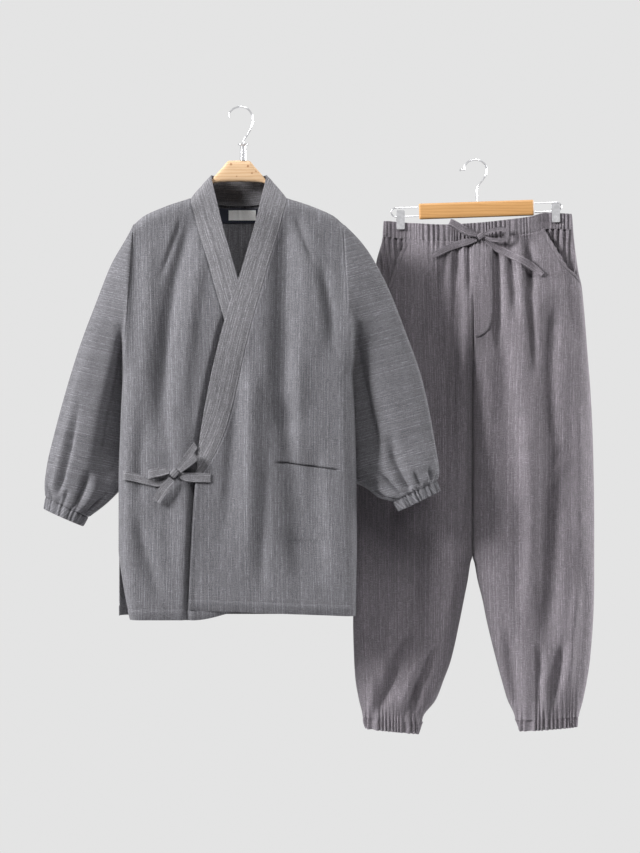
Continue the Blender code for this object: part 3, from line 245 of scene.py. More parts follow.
def front_fold(side, out, z):
    """Push of the folds, which both fronts share where they lap; none at the seams."""
    inside = smooth((side_out(side, z) - out) / 45) * smooth((ridge_z(out) - z) / 35)
    x = CENTRE + side * out
    return inside * (fold_sum(FRONT_FOLDS, x, z) + ripple(x, z, 1.0))


def front_y(side, out, z):
    """Y of a front panel's middle surface."""
    depth = panel_depth(side, out, z, FRONT_DEPTH, FRONT_ROUND, 1) + front_fold(side, out, z)
    if side > 0:
        depth = depth + lap_lift(out, z)
    else:
        depth = depth - lap_sink(CENTRE - out, z)
    return -depth


def back_y(side, out, z):
    """Y of a back panel's middle surface; the neck seam starts it off the middle plane."""
    neck = NECK_BACK_Y * np.sqrt(1 - np.clip(out / NECK_HALF, 0, 1) ** 2)
    depth = panel_depth(side, out, z, BACK_DEPTH, BACK_ROUND, -1)
    depth = neck + depth * (1 - neck / BACK_DEPTH)
    inside = smooth((side_out(side, z) - out) / 45) * smooth((ridge_z(out) - z) / 90)
    x = CENTRE + side * out
    return depth + inside * (fold_sum(BACK_FOLDS, x, z) + ripple(x, z, 2.0))


def crowd(t, tightness=0.15):
    """Spread 0..1 so that it is crowded, and level, at 0."""
    return (np.sqrt(t * t + tightness ** 2) - tightness) / (math.sqrt(1 + tightness ** 2) - tightness)


def front_inner(z):
    """Distance out of a front panel's inner edge: the collar seam, then the open edge."""
    return np.where(z > COLLAR_END_Z, along(COLLAR, "z", "sewn_out", z),
                    along(FRONT_EDGE, "z", "out", z))


def front_hem_z(side, across):
    """Hem of a front panel: the lapping one drops 12 mm towards the side, the lower one 21 mm."""
    if side > 0:
        return -932 - 12 * across
    return -930 - 21 * smooth((across - 0.20) / 0.36)


def vent_inset(side, z):
    """The front panel's edge curls in at the side vent, mostly on the left."""
    return (19.0 if side < 0 else 3.0) * np.clip((VENT_Z - z) / (VENT_Z - HEM_Z), 0, 1.1) ** 1.3


def front_point(side, u, v):
    """Front panel: u from the inner edge (0) to the side (1), v from the shoulder to the hem."""
    across = 1 - crowd(1 - u)
    top_out = NECK_HALF + (TIP_OUT[side] - NECK_HALF) * across
    z = ridge_z(top_out) * (1 - v) + front_hem_z(side, across) * v
    inner_z = NECK_Z * (1 - v) + front_hem_z(side, 0.0) * v
    outer_z = TIP_Z * (1 - v) + front_hem_z(side, 1.0) * v
    inner = front_inner(inner_z)
    outer = side_out(side, outer_z)
    out = inner + (outer - inner) * across
    y = front_y(side, out, z) - 8 * smooth((VENT_Z - outer_z) / 120) * (1 - quarter((1 - across) * 8))
    out = out - vent_inset(side, outer_z) * smooth((across - 0.55) / 0.45)
    return points(CENTRE + side * out, y, z)


def back_point(side, u, v):
    """Back panel: u from the centre back (0) to the side (1), v from the neck to the hem."""
    top_out = u * TIP_OUT[side]
    neck = np.clip(top_out / NECK_HALF, 0, 1)
    neck_z = NECK_BACK_Z + (NECK_Z - NECK_BACK_Z) * neck ** 2
    top_z = np.where(top_out < NECK_HALF, neck_z, ridge_z(top_out))
    z = top_z * (1 - v) + (HEM_Z - 4) * v
    outer_z = TIP_Z * (1 - v) + (HEM_Z - 4) * v
    out = u * side_out(side, outer_z)
    fan = np.where(top_out < NECK_HALF, smooth(v * 8), 1.0)
    out = top_out + (out - top_out) * fan
    y = back_y(side, out, z)
    return points(CENTRE + side * out, y, z)


def collar_edges(side, q):
    """Sewn and free edge of the collar: q is 0 at the centre back, 1 at the neck side, 2 at the end."""
    turn = np.clip(q, 0, 1) * math.pi / 2
    z = NECK_Z + (COLLAR_END_Z - NECK_Z) * np.clip(q - 1, 0, 1)
    behind = q < 1
    sewn_out = np.where(behind, NECK_HALF * np.sin(turn), along(COLLAR, "z", "sewn_out", z))
    sewn_y = np.where(behind, NECK_BACK_Y * np.cos(turn), front_y(side, sewn_out, z))
    sewn_z = np.where(behind, NECK_BACK_Z + (NECK_Z - NECK_BACK_Z) * np.sin(turn) ** 2, z)
    free_out = np.where(behind, 51 * np.sin(turn), along(COLLAR, "z", "free_out", z))
    free_z = np.where(behind, -133 + 7 * np.sin(turn), along(COLLAR, "z", "free_z", z))
    free_y = along(COLLAR, "z", "free_y", z) - front_fold(side, free_out, free_z)
    if side > 0:
        free_y = free_y - lap_lift(free_out, free_z)
    else:
        free_y = free_y + lap_sink(CENTRE - free_out, free_z)
    free_y = np.where(behind, 27 * np.cos(turn) - 4 * np.sin(turn), free_y)
    sewn = points(CENTRE + side * sewn_out, sewn_y, sewn_z)
    free = points(CENTRE + side * free_out, free_y, free_z)
    return sewn, free


def collar_point(side, u, v):
    """Collar band: u from the sewn edge (0) to the free edge (1), v along it, 0 to 2."""
    sewn, free = collar_edges(side, v)
    return sewn + (free - sewn) * np.asarray(u)[..., None]


# --- sleeves --------------------
# each ring runs from its outer point (top_) to its inner point (low_), around a centre y
SLEEVES = {
    -1: table("ring top_x top_z low_x low_z y depth", [
        (0, -197, -217, -216, -492, -6, 36),
        (1, -209, -240, -218, -512, 4, 40),
        (2, -238, -289, -212, -546, 16, 42),
        (3, -266, -358, -209, -588, 23, 43),
        (4, -298, -442, -208, -628, 27, 44),
        (5, -327, -535, -208, -662, 28, 45),
        (6, -348, -613, -210, -690, 27, 46),
        (7, -359, -665, -230, -717, 20, 43),
        (8, -364, -702, -257, -743, 13, 36),
        (9, -361.5, -724, -283, -761, 9, 27)]),
    1: table("ring top_x top_z low_x low_z y depth", [
        (0, 192, -217, 209, -492, -6, 36),
        (1, 220, -243, 211, -516, 4, 37),
        (2, 250, -286, 206, -550, 13, 37),
        (3, 275, -334, 204, -590, 19, 37),
        (4, 306, -412, 204, -628, 18, 36),
        (5, 337, -500, 205, -662, 18, 35),
        (6, 357, -591, 211, -690, 17, 35),
        (7, 367, -650, 238, -709, 12, 36),
        (8, 370.5, -678, 263, -727, 8, 32),
        (9, 365.5, -694, 287, -732, 5, 25)])}
# folds of a sleeve: each runs from a turn and ring to another, pushed out and half as wide as it says
SLEEVE_FOLD_COLUMNS = "turn_top ring_top turn_low ring_low push width"
SLEEVE_FOLDS = {
    -1: table(SLEEVE_FOLD_COLUMNS, [
        (0.335, 0.2, 0.345, 7.3, -30, 0.060), (0.235, 1.0, 0.265, 7.0, 4, 0.045),
        (0.150, 4.5, 0.170, 8.6, -9, 0.018), (0.130, 4.6, 0.140, 8.4, 4, 0.020),
        (0.262, 6.3, 0.312, 9.2, -11, 0.015), (0.300, 6.2, 0.345, 9.0, 5, 0.022),
        (0.070, 7.6, 0.078, 9.3, -5, 0.010), (0.105, 7.9, 0.110, 9.3, -5, 0.010),
        (0.215, 7.5, 0.225, 9.3, -4, 0.012), (0.395, 7.0, 0.390, 9.3, -6, 0.014),
        (0.08, 2.5, 0.06, 7.0, -3, 0.040), (0.44, 5.0, 0.43, 8.8, 4, 0.024),
        (0.53, 6.4, 0.53, 9.3, -5, 0.014), (0.60, 5.6, 0.61, 9.2, 5, 0.026),
        (0.65, 6.6, 0.645, 9.3, -6, 0.014), (0.72, 1.5, 0.70, 7.4, -7, 0.050),
        (0.76, 6.2, 0.75, 9.3, -6, 0.013), (0.83, 5.8, 0.82, 9.2, 5, 0.024),
        (0.87, 7.0, 0.865, 9.3, -5, 0.012), (0.94, 6.0, 0.93, 9.3, -5, 0.016)]),
    1: table(SLEEVE_FOLD_COLUMNS, [
        (0.325, 0.2, 0.335, 6.7, -24, 0.055), (0.27, 1.0, 0.29, 5.6, 5, 0.050),
        (0.18, 1.2, 0.22, 6.6, 5, 0.050), (0.09, 3.0, 0.07, 7.5, -4, 0.030),
        (0.27, 4.4, 0.31, 8.2, 4, 0.022), (0.240, 5.0, 0.275, 9.2, -10, 0.018),
        (0.335, 6.0, 0.325, 9.3, -10, 0.016), (0.380, 6.8, 0.372, 9.3, 5, 0.018),
        (0.415, 7.1, 0.405, 9.3, -6, 0.012), (0.195, 6.9, 0.205, 9.3, -6, 0.012),
        (0.155, 7.4, 0.165, 9.3, 5, 0.014), (0.125, 7.0, 0.130, 9.3, -6, 0.012),
        (0.075, 7.8, 0.075, 9.3, -5, 0.010), (0.300, 7.4, 0.300, 9.3, 4, 0.012),
        (0.52, 6.6, 0.52, 9.3, -5, 0.014), (0.59, 5.4, 0.60, 9.2, 5, 0.026),
        (0.64, 6.8, 0.64, 9.3, -6, 0.013), (0.70, 1.4, 0.71, 7.2, -7, 0.050),
        (0.77, 6.4, 0.76, 9.3, -6, 0.014), (0.84, 6.0, 0.83, 9.3, 5, 0.022),
        (0.89, 7.2, 0.885, 9.3, -5, 0.012), (0.95, 6.4, 0.945, 9.3, -5, 0.014)])}
LAST_RING = 9
TUCK = 7.0                 # how far the sleeve's inner side bulges in behind the body
SLEEVE_LEAN = 30.0         # how much further back a sleeve's inner side hangs than its outer side
RIB_COUNT = {-1: 25, 1: 27}
RIB_DEPTH = {-1: 1.7, 1: 2.2}
CUFFS = {
    -1: table("row top_x top_z low_x low_z y depth", [
        (0, -361.5, -725, -284, -762, 9, 25), (1, -365, -746, -293, -778, 8, 24)]),
    1: table("row top_x top_z low_x low_z y depth", [
        (0, 365, -694.5, 286, -733, 5, 24), (1, 372, -713, 296, -750, 4, 23)])}


def ring_point(rows, key, at, turn):
    """A flattened ring: turn 0 is its outer point, and it goes round by the front."""
    angle = turn * 2 * math.pi
    t = (1 - np.cos(angle)) / 2
    x = along(rows, key, "top_x", at) * (1 - t) + along(rows, key, "low_x", at) * t
    z = along(rows, key, "top_z", at) * (1 - t) + along(rows, key, "low_z", at) * t
    swing = np.sin(angle)
    y = along(rows, key, "y", at) - along(rows, key, "depth", at) * np.sign(swing) * abs(swing) ** 0.9
    return points(x, y, z)


def armhole_point(side, turn):
    """The armhole's edge, gone round as the sleeve's rings are."""
    angle = turn * 2 * math.pi
    t = (1 - np.cos(angle)) / 2
    z = TIP_Z + (UNDERARM_Z - TIP_Z) * t
    depth = np.where(np.sin(angle) > 0, armhole_depth(z, FRONT_DEPTH), armhole_depth(z, BACK_DEPTH))
    y = side_seam_y(z) - np.sign(np.sin(angle)) * depth
    return points(CENTRE + side * side_out(side, z), y, z)


def sleeve_push(side, turn, ring):
    """Outward push of a sleeve's folds; turns count round, so a fold may lie across turn 0."""
    folds = SLEEVE_FOLDS[side]
    push = 0.0
    for turn_top, ring_top, turn_low, ring_low, out, width in rows_of(folds, SLEEVE_FOLD_COLUMNS):
        t = (ring - ring_top) / (ring_low - ring_top)
        fade = smooth(t / 0.35) * smooth((1 - t) / 0.3)
        apart = (turn - turn_top - (turn_low - turn_top) * np.clip(t, 0, 1) + 0.5) % 1.0 - 0.5
        push = push + out * fade * np.exp(-(apart / width) ** 2)
    return push


def ribs(turn, count, seed):
    """Uneven ribs round an elastic cuff, between -1 and 1."""
    place = turn + 0.012 * np.sin(6 * math.pi * turn + seed) + 0.009 * np.sin(22 * math.pi * turn + 2 * seed)
    height = 0.68 + 0.32 * np.sin(14 * math.pi * turn + 3 * seed) * np.sin(34 * math.pi * turn)
    return height * np.sin(2 * math.pi * count * place)


def sleeve_point(side, turn, ring):
    """Sleeve: it starts on the armhole, and its folds end in the ribs of the cuff."""
    place = ring_point(SLEEVES[side], "ring", ring, turn)
    start = armhole_point(side, turn)
    blend = smooth(ring / 1.6)[..., None]
    place = start * (1 - blend) + place * blend
    lean = SLEEVE_LEAN * smooth((ring - 0.4) / 2.4) * smooth((LAST_RING - ring) / 3)
    place[..., 1] += lean * (0.1 - 0.5 * np.cos(2 * math.pi * turn))
    fore, aft = (ring_point(SLEEVES[side], "ring", ring, at) for at in (0.25, 0.75))
    middle = (fore + aft) / 2
    middle[..., 1] += 0.1 * lean
    away = unit(place - middle)
    near_cuff = smooth((ring - 7.9) / 1.0)
    push = sleeve_push(side, turn, ring) * (1 - 0.85 * near_cuff)
    tuck = TUCK * smooth((ring - 1) / 2) * smooth((7.2 - ring) / 2)
    push = push + tuck * np.exp(-((turn - 0.53) / 0.05) ** 2)
    push = push + RIB_DEPTH[side] * near_cuff * ribs(turn, RIB_COUNT[side], side)
    uneven = ripple(170 * np.sin(2 * math.pi * turn), 70 * ring, side)
    push = push + smooth(ring / 2) * (1 - near_cuff) * uneven
    return place + away * push[..., None]


def cuff_point(side, turn, row):
    """Elastic cuff of a sleeve."""
    rows = CUFFS[side]
    place = ring_point(rows, "row", row, turn)
    middle = ring_point(rows, "row", row, 0.25) + ring_point(rows, "row", row, 0.75)
    depth = RIB_DEPTH[side] * ribs(turn, RIB_COUNT[side], side)
    return place + unit(place - middle / 2) * depth[..., None]


# --- trousers: driving sizes --------------------
TROUSER_Y = 106.0          # the trousers hang behind the jacket
LEG_SPLIT_X = 437.5
CROTCH_Z = -534.0
RISE_TURN_Z = -395.0       # the centre seams begin to turn under here
BAND_HEIGHT = 30.0
CLIP_X = (301.5, 595.5)
WAIST_HALF = 185.0
CLIPPED_DEPTH = 1.7        # half depth of the band between the jaws of a clip
WAIST = table("x top_z", [
    (262, -204.5), (313, -208.5), (376, -211.5), (442, -208.5), (495, -203), (546, -196), (574, -188.5),
    (602, -189.5), (632, -191.5)])
LEGS = table("z left_outer left_inner right_inner right_outer depth", [
    (-188, 271, 437.5, 437.5, 625, 13),
    (-235, 268, 437.5, 437.5, 629, 17),
    (-279, 257, 437.5, 437.5, 634.5, 28),
    (-354, 246, 437.5, 437.5, 646, 39),
    (-449, 234, 437.5, 437.5, 654, 45),
    (-543, 226, 437.5, 437.5, 661, 47),
    (-638, 220, 437.5, 437.5, 665, 47),
    (-770, 216, 437.5, 437.5, 667, 47),
    (-838, 214.6, 437.5, 437.5, 667, 46),
    (-848, 214.4, 434, 441, 667, 46),
    (-883, 213.5, 428.5, 447.5, 667, 46),
    (-921, 213, 421, 457, 666.5, 45),
    (-959, 212.5, 413.5, 464.5, 665, 44),
    (-1035, 214.5, 396.5, 483, 659, 41),
    (-1072, 217, 383, 493, 653.5, 38),
    (-1110, 223.5, 368, 504, 646, 33),
    (-1142, 230.5, 344, 518, 638, 27),
    (-1156, 231, 341, 520, 637, 26)])
LEG_HEM_Z = {-1: (-1153.0, -1142.0), 1: (-1148.0, -1141.5)}     # at the inner and outer side
HEM_CUFFS = {
    -1: table("row top_x top_z low_x low_z y depth", [
        (0, 230.7, -1141, 342.8, -1152, 106, 26), (1, 235, -1164, 336, -1174, 106, 23)]),
    1: table("row top_x top_z low_x low_z y depth", [
        (0, 637.3, -1140.5, 519.2, -1147, 106, 26), (1, 635, -1161, 528, -1169, 106, 23)])}
# how far across a front panel its slanted pocket mouth lies, row by row, until it meets the side seam
POCKET_MOUTH = {-1: table("v reach", [(0, 0.655), (0.052, 0.70), (0.104, 0.745), (0.14, 0.81), (0.176, 1)]),
                1: table("v reach", [(0, 0.635), (0.04, 0.707), (0.08, 0.793), (0.115, 1)])}
LEG_FOLDS = table(FOLD_COLUMNS, [
    (410, -222, 394, -680, 0, -15, 10), (430, -222, 431, -360, 0, -7, 6),
    (422, -330, 425, -800, 0, 7, 9), (388, -226, 372, -520, 0, -6, 9),
    (482, -222, 486, -470, 0, -12, 9), (506, -236, 520, -400, 0, -9, 8),
    (541, -218, 553, -540, 0, -14, 10), (524, -226, 532, -350, 0, 6, 8),
    (590, -340, 596, -700, -12, -12, 18), (540, -560, 548, -900, 0, 6, 18),
    (612, -280, 632, -460, 0, -6, 12), (606, -642, 578, -724, 0, 6, 13),
    (494, -380, 500, -620, 0, -7, 14), (562, -990, 566, -1150, 0, -8, 8),
    (637, -860, 612, -1130, 0, 7, 10),
    (503, -960, 524, -1146, 0, -10, 12), (352, -740, 330, -980, 0, -11, 21),
    (326, -960, 254, -1150, 0, -15, 12), (344, -1000, 298, -1140, 0, 8, 11),
    (352, -280, 356, -480, 0, -7, 12), (437, -700, 414, -830, 0, -5, 8),
    (460, -430, 470, -700, 0, 6, 15), (636, -520, 640, -900, 0, 6, 12),
    (592, -620, 574, -1070, 0, -13, 20), (535, -540, 546, -1000, 0, 7, 20),
    (610, -990, 584, -1130, 0, -11, 9), (372, -990, 306, -1146, 0, -12, 10),
    (568, -1050, 572, -1148, 0, 7, 8), (300, -560, 288, -820, 0, -8, 18),
    (386, -560, 376, -920, 0, -8, 17), (250, -1040, 244, -1150, 0, 6, 8),
    (282, -900, 264, -1100, 0, 7, 12), (332, -1050, 322, -1152, 0, -8, 8),
    (378, -260, 372, -700, 0, -13, 26), (546, -300, 550, -820, 0, 8, 32),
    (402, -860, 384, -1020, 0, 6, 12), (530, -700, 520, -960, 0, -6, 14)])
SEAT_FOLDS = table(FOLD_COLUMNS, [
    (300, -226, 290, -620, 8, 8, 14), (360, -222, 372, -560, 0, -11, 12),
    (410, -222, 404, -500, 0, 9, 12), (470, -220, 476, -520, 0, -11, 12),
    (525, -222, 520, -560, 6, 9, 13), (580, -226, 596, -640, 0, -10, 14),
    (310, -760, 296, -1150, -10, -11, 16), (570, -780, 585, -1146, 10, 9, 16),
    (352, -600, 346, -980, 0, 8, 16), (640, -520, 636, -900, 0, -7, 14),
    (270, -980, 262, -1150, 0, -9, 9), (620, -1010, 610, -1146, 0, -9, 9),
    (535, -1000, 545, -1146, 0, -9, 10), (325, -1040, 318, -1150, 0, 8, 9)])
GATHER_DEPTH = 1.7         # height of the ribs at the elastic waist
HEM_GATHER_DEPTH = 2.7     # and at the elastic hems
HEM_LINE_Z = -1150.0
GATHER_REACH = 46.0        # how far below the waistband its gathers fade away
FLAT_STRETCH = (546.0, 582.0)   # where the waistband is nearly smooth, beside the right pocket


def waist_z(x):
    """Top edge of the waistband, which sags between the clips."""
    return along(WAIST, "x", "top_z", x)


def pinch(x, below):
    """Share of its own depth that the cloth keeps beside the two clips."""
    near = sum(np.exp(-(np.maximum(abs(x - clip) - 10, 0) / 22.0) ** 2) for clip in CLIP_X)
    return 1 - near * np.exp(-(np.maximum(below - 14, 0) / 34.0) ** 2)


def gathers(x, below):
    """Uneven upright ribs of the elastic waist, which fade below the band."""
    place = x / 7.2 + 0.5 * np.sin(x / 23) + 0.35 * np.sin(x / 11 + 1) + 0.2 * np.sin(x / 5.3)
    height = 0.62 + 0.38 * np.sin(x / 13 + 2) * np.sin(x / 37 + 1)
    low, high = FLAT_STRETCH
    smoothed = smooth((x - low + 8) / 16) * smooth((high + 8 - x) / 16)
    fade = np.exp(-np.maximum(below - BAND_HEIGHT, 0) / GATHER_REACH)
    return GATHER_DEPTH * height * fade * (1 - 0.75 * smoothed) * np.sin(2 * math.pi * place)


def hem_gathers(x, z):
    """Uneven ribs of the elastic hems, which fade upwards."""
    place = x / 8.3 + 0.5 * np.sin(x / 17 + 2) + 0.3 * np.sin(x / 9) + 0.2 * np.sin(x / 4.7)
    height = 0.65 + 0.35 * np.sin(x / 11) * np.sin(x / 29 + 1)
    fade = np.exp(-np.maximum(z - HEM_LINE_Z, 0) / 40.0)
    return HEM_GATHER_DEPTH * height * fade * np.sin(2 * math.pi * place)


def leg_section(side, half, u, z):
    """One half (front -1, back 1) of a leg at one height: u from the inner seam to the side seam."""
    name = "left" if side < 0 else "right"
    inner = along(LEGS, "z", name + "_inner", z)
    inner = inner + side * (0.15 + 0.55 * smooth((RISE_TURN_Z + 40 - z) / 40))
    outer = along(LEGS, "z", name + "_outer", z)
    depth = along(LEGS, "z", "depth", z)
    under = np.clip((RISE_TURN_Z - z) / (RISE_TURN_Z - CROTCH_Z), 0, 1)
    inner_depth = depth * (1 - smooth(under))
    apex = (inner + outer) / 2
    angle = (u - 0.5) * math.pi
    x = apex + np.where(u > 0.5, outer - apex, apex - inner) * np.sin(angle)
    bulge = np.maximum(np.cos(angle), 0) ** 0.7
    floor = np.where(u > 0.5, 0.0, inner_depth)
    y = floor + (depth - floor) * bulge
    below = waist_z(x) - z
    share = pinch(x, below)
    y = y * share + np.minimum(y, CLIPPED_DEPTH) * (1 - share)
    folds = LEG_FOLDS if half < 0 else SEAT_FOLDS
    turned = smooth((RISE_TURN_Z - z) / 90)
    edge = smooth((1 - u) / 0.22) * (1 - turned * (1 - smooth(u / 0.22)))
    rib_edge = smooth((1 - u) / 0.06) * (1 - turned * (1 - smooth(u / 0.06)))
    y = y + edge * (fold_sum(folds, x, z) + ripple(x, z, 3.0 + half) * smooth(below / 60))
    y = y + rib_edge * (gathers(x, below) * held_flat(x, below) + hem_gathers(x, z))
    return points(x, TROUSER_Y + half * y, z)


def held_flat(x, below):
    """Share of the ribs' height that is left near the jaws of the clips."""
    near = sum(np.exp(-((x - clip) / 9.0) ** 2) for clip in CLIP_X)
    return 1 - near * np.exp(-(np.maximum(below - 14, 0) / 16.0) ** 2)


def waist_at(w):
    """Top edge height at a place along the band, from the left side (-1) to the right side (1)."""
    return waist_z(LEG_SPLIT_X + np.sign(w) * (0.5 - 0.5 * np.cos(w * math.pi)) * WAIST_HALF)


def leg_point(side, half, u, v):
    """Trouser panel below the waistband: v from the waist seam (0) to the hem seam (1)."""
    top = waist_at(side * u) - BAND_HEIGHT
    inner_z, outer_z = LEG_HEM_Z[side]
    low = inner_z + (outer_z - inner_z) * (0.5 - 0.5 * np.cos(u * math.pi))
    return leg_section(side, half, u, top * (1 - v) + low * v)


def mouth_reach(side, v):
    """How far across its row a front panel reaches: to the pocket mouth, or to the side seam."""
    return np.interp(v, POCKET_MOUTH[side]["v"], POCKET_MOUTH[side]["reach"])


def band_point(half, w, v):
    """Waistband half: w from the left side (-1) to the right side (1), v from top to bottom."""
    left = leg_section(-1, half, np.abs(w), waist_at(w) - BAND_HEIGHT * v)
    right = leg_section(1, half, np.abs(w), waist_at(w) - BAND_HEIGHT * v)
    return np.where((w < 0)[..., None], left, right)


# --- lines of a grid --------------------
def lengths(grid, axis):
    """Distance gone along a grid of points in one direction, from its first line."""
    step = np.linalg.norm(np.diff(grid, axis=axis), axis=-1)
    return np.concatenate([np.zeros_like(np.take(step, [0], axis)), np.cumsum(step, axis=axis)], axis=axis)


def edge_distances(grid):
    """Distance of each point from the four edges of its grid."""
    across, down = lengths(grid, 1), lengths(grid, 0)
    return {"u0": across, "u1": across[:, -1:] - across, "v0": down, "v1": down[-1:] - down}


def spaced(count, fine_start=True, fine_end=True, extra=()):
    """Even places from 0 to 1, closer together at the ends, with a few more of one's own."""
    places = list(np.linspace(0, 1, count)) + list(extra)
    step = 1 / (count - 1)
    if fine_start:
        places += [0.25 * step, 0.5 * step, 0.75 * step, 1.5 * step]
    if fine_end:
        places += [1 - 0.25 * step, 1 - 0.5 * step, 1 - 0.75 * step, 1 - 1.5 * step]
    return np.unique(np.round(places, 6))


def groove(distance, at, half_width):
    """A soft line, 1 in its middle, at a distance from an edge."""
    return np.exp(-((distance - at) / half_width) ** 2)


# --- cloth coordinates, in millimetres: across the stripes and along them --------------------
def evened(values, reach):
    """Values averaged over the rows within reach above and below."""
    padded = np.concatenate([values[:1].repeat(reach, 0), values, values[-1:].repeat(reach, 0)])
    total = np.cumsum(np.concatenate([padded[:1] * 0, padded]), axis=0)
    return (total[2 * reach + 1:] - total[:-2 * reach - 1]) / (2 * reach + 1)


def hung_cut(grid):
    """Stripes upright: x, widened by the cloth that the depth of the shape takes up."""
    step = np.diff(grid, axis=1)
    spare = np.hypot(step[..., 0], step[..., 1]) - abs(step[..., 0])
    spare = np.concatenate([np.zeros((len(grid), 1)), np.cumsum(spare, axis=1)], axis=1)
    spare = evened(evened(spare, 30), 30)
    way = np.sign(grid[:, -1:, 0] - grid[:, :1, 0])
    return grid[..., 0] + way * spare, grid[..., 2]


def sleeve_cut(grid):
    """Stripes across a sleeve, square to the line from its shoulder to its cuff."""
    axis = unit(grid[-1].mean(axis=0) - grid[0, np.argmax(grid[0, :, 2])])
    return grid @ axis, lengths(grid, 1)


def upright_cut(grid):
    """Stripes along the grid's columns."""
    return lengths(grid, 1), lengths(grid, 0)


# --- mesh making --------------------
def add_piece(name, mesh, material, replaces=(), smooth_angle=50):
    """Put a mesh in the scene as a piece of the object."""
    mesh.materials.append(material)
    mesh.shade_smooth()
    mesh.set_sharp_from_angle(angle=math.radians(smooth_angle))
    thing = bpy.data.objects.new(name, mesh)
    bpy.context.scene.collection.objects.link(thing)
    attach(thing, "root")
    if replaces:
        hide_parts(*replaces)
    return thing


def grid_normals(grid, closed, look):
    """Normals of a grid of points, and whether they had to be turned to face as `look` does."""
    if closed:
        du = np.roll(grid, -1, axis=1) - np.roll(grid, 1, axis=1)
    else:
        du = np.gradient(grid, axis=1)
    normals = unit(np.cross(du, np.gradient(grid, axis=0)))
    turned = look is not None and np.sum(normals * look(grid)) < 0
    return (-normals if turned else normals), turned


def grid_faces(rows, cols, closed, turned):
    """Outer, inner and rim faces of a wall made from a grid; the inner points follow the outer."""
    r, c = np.meshgrid(np.arange(rows - 1), np.arange(cols if closed else cols - 1), indexing="ij")
    a, b = r * cols + c, r * cols + (c + 1) % cols
    shift = rows * cols
    faces = [np.stack([a, b, b + cols, a + cols], -1).reshape(-1, 4)]
    faces.append(faces[0][:, ::-1] + shift)
    for row, way in ((0, 1), (rows - 1, -1)):
        near = row * cols + c[0]
        far = row * cols + (c[0] + 1) % cols
        faces.append(np.stack([near, near + shift, far + shift, far], -1)[:, ::way])
    if not closed:
        for col, way in ((0, 1), (cols - 1, -1)):
            near = r[:, 0] * cols + col
            faces.append(np.stack([near, near + cols, near + cols + shift, near + shift], -1)[:, ::way])
    faces = np.concatenate(faces)
    return faces[:, ::-1] if turned else faces


def look_to(x, y, z):
    """An outward direction that is the same everywhere."""
    return lambda grid: np.array([x, y, z], float)


def look_out(grid):
    """Outwards from the middle of each ring."""
    return grid - grid.mean(axis=1, keepdims=True)


def shell(name, grid, material, slot="cloth", look=None, wall=CLOTH_WALL, closed=False, cut=hung_cut,
          relief=None, replaces=()):
    """A cloth wall on a grid of points; `relief` gives a push along the normals, in millimetres.

    Returns the piece, the points of its outer face and their normals.
    """
    normals, turned = grid_normals(grid, closed, look)
    if relief is not None:
        grid = grid + normals * relief[..., None]
        normals, turned = grid_normals(grid, closed, look)
    outer = grid + normals * (wall / 2)
    inner = grid - normals * (wall / 2)
    faces = grid_faces(*grid.shape[:2], closed, turned)
    mesh = bpy.data.meshes.new(name)
    mesh.from_pydata(np.concatenate([outer.reshape(-1, 3), inner.reshape(-1, 3)]) * MM, [], faces.tolist())
    across, down = cut(grid)
    places = np.stack([across, down, np.zeros_like(across)], axis=-1).reshape(-1, 3) * MM
    attribute = mesh.attributes.new("cut", "FLOAT_VECTOR", "POINT")
    attribute.data.foreach_set("vector", np.concatenate([places, places]).ravel())
    return add_piece(name, mesh, material, replaces), outer, normals


TO_FRONT, TO_BACK = look_to(0, -1, 0), look_to(0, 1, 0)


def cloth(name, grid, material, look=None, relief=None, **more):
    """The cloth that stands for the node of that name: the piece, its outer points and their normals."""
    return shell(name + "_cloth", grid, material, look=look, relief=relief, replaces=(name,), **more)


def mesh_shell(name, places, faces, material, replaces=(), smooth_angle=50):
    """A closed body from points in millimetres, its faces turned outwards."""
    mesh = bpy.data.meshes.new(name)
    mesh.from_pydata([tuple(p) for p in np.asarray(places) * MM], [], faces)
    shape = bmesh.new()
    shape.from_mesh(mesh)
    bmesh.ops.recalc_face_normals(shape, faces=shape.faces)
    shape.to_mesh(mesh)
    shape.free()
    return add_piece(name, mesh, material, replaces, smooth_angle)


def ring_faces(rings, count, caps=True, first=0):
    """Faces of a body lofted through rings of equal point count."""
    faces = []
    for r in range(rings - 1):
        for i in range(count):
            a, b = first + r * count + i, first + r * count + (i + 1) % count
            faces.append((a, b, b + count, a + count))
    if caps:
        faces.append(tuple(range(first, first + count)))
        faces.append(tuple(first + (rings - 1) * count + i for i in range(count)))
    return faces


def tube(route, radius, sides=16):
    """Points and faces of a round bar along a route; its cross-sections don't twist."""
    route = np.asarray(route, float)
    run = unit(np.gradient(route, axis=0))
    side = np.zeros_like(run)
    first = np.array([0, 1.0, 0]) if abs(run[0, 1]) < 0.8 else np.array([1.0, 0, 0])
    for i, way in enumerate(run):
        first = unit(first - np.dot(first, way) * way)
        side[i] = first
    up = np.cross(run, side)
    turns = np.arange(sides) * 2 * math.pi / sides
    ring = side[:, None] * np.cos(turns)[:, None] + up[:, None] * np.sin(turns)[:, None]
    places = (route[:, None] + ring * radius).reshape(-1, 3)
    return places, ring_faces(len(route), sides)


def inset_line(outer, edge, distance):
    """A line on a grid at a distance from one of its edges."""
    gone = edge_distances(outer)[edge]
    columns = range(outer.shape[1]) if edge[0] == "v" else range(outer.shape[0])
    line = []
    for i in columns:
        stretch = (gone[:, i], outer[:, i]) if edge[0] == "v" else (gone[i], outer[i])
        order = np.argsort(stretch[0])
        line.append([np.interp(distance, stretch[0][order], stretch[1][order, k]) for k in range(3)])
    return np.array(line)


STITCH = {"length": 2.3, "pitch": 3.4, "width": 0.6, "height": 0.4}
THREAD_RAISE = 0.12


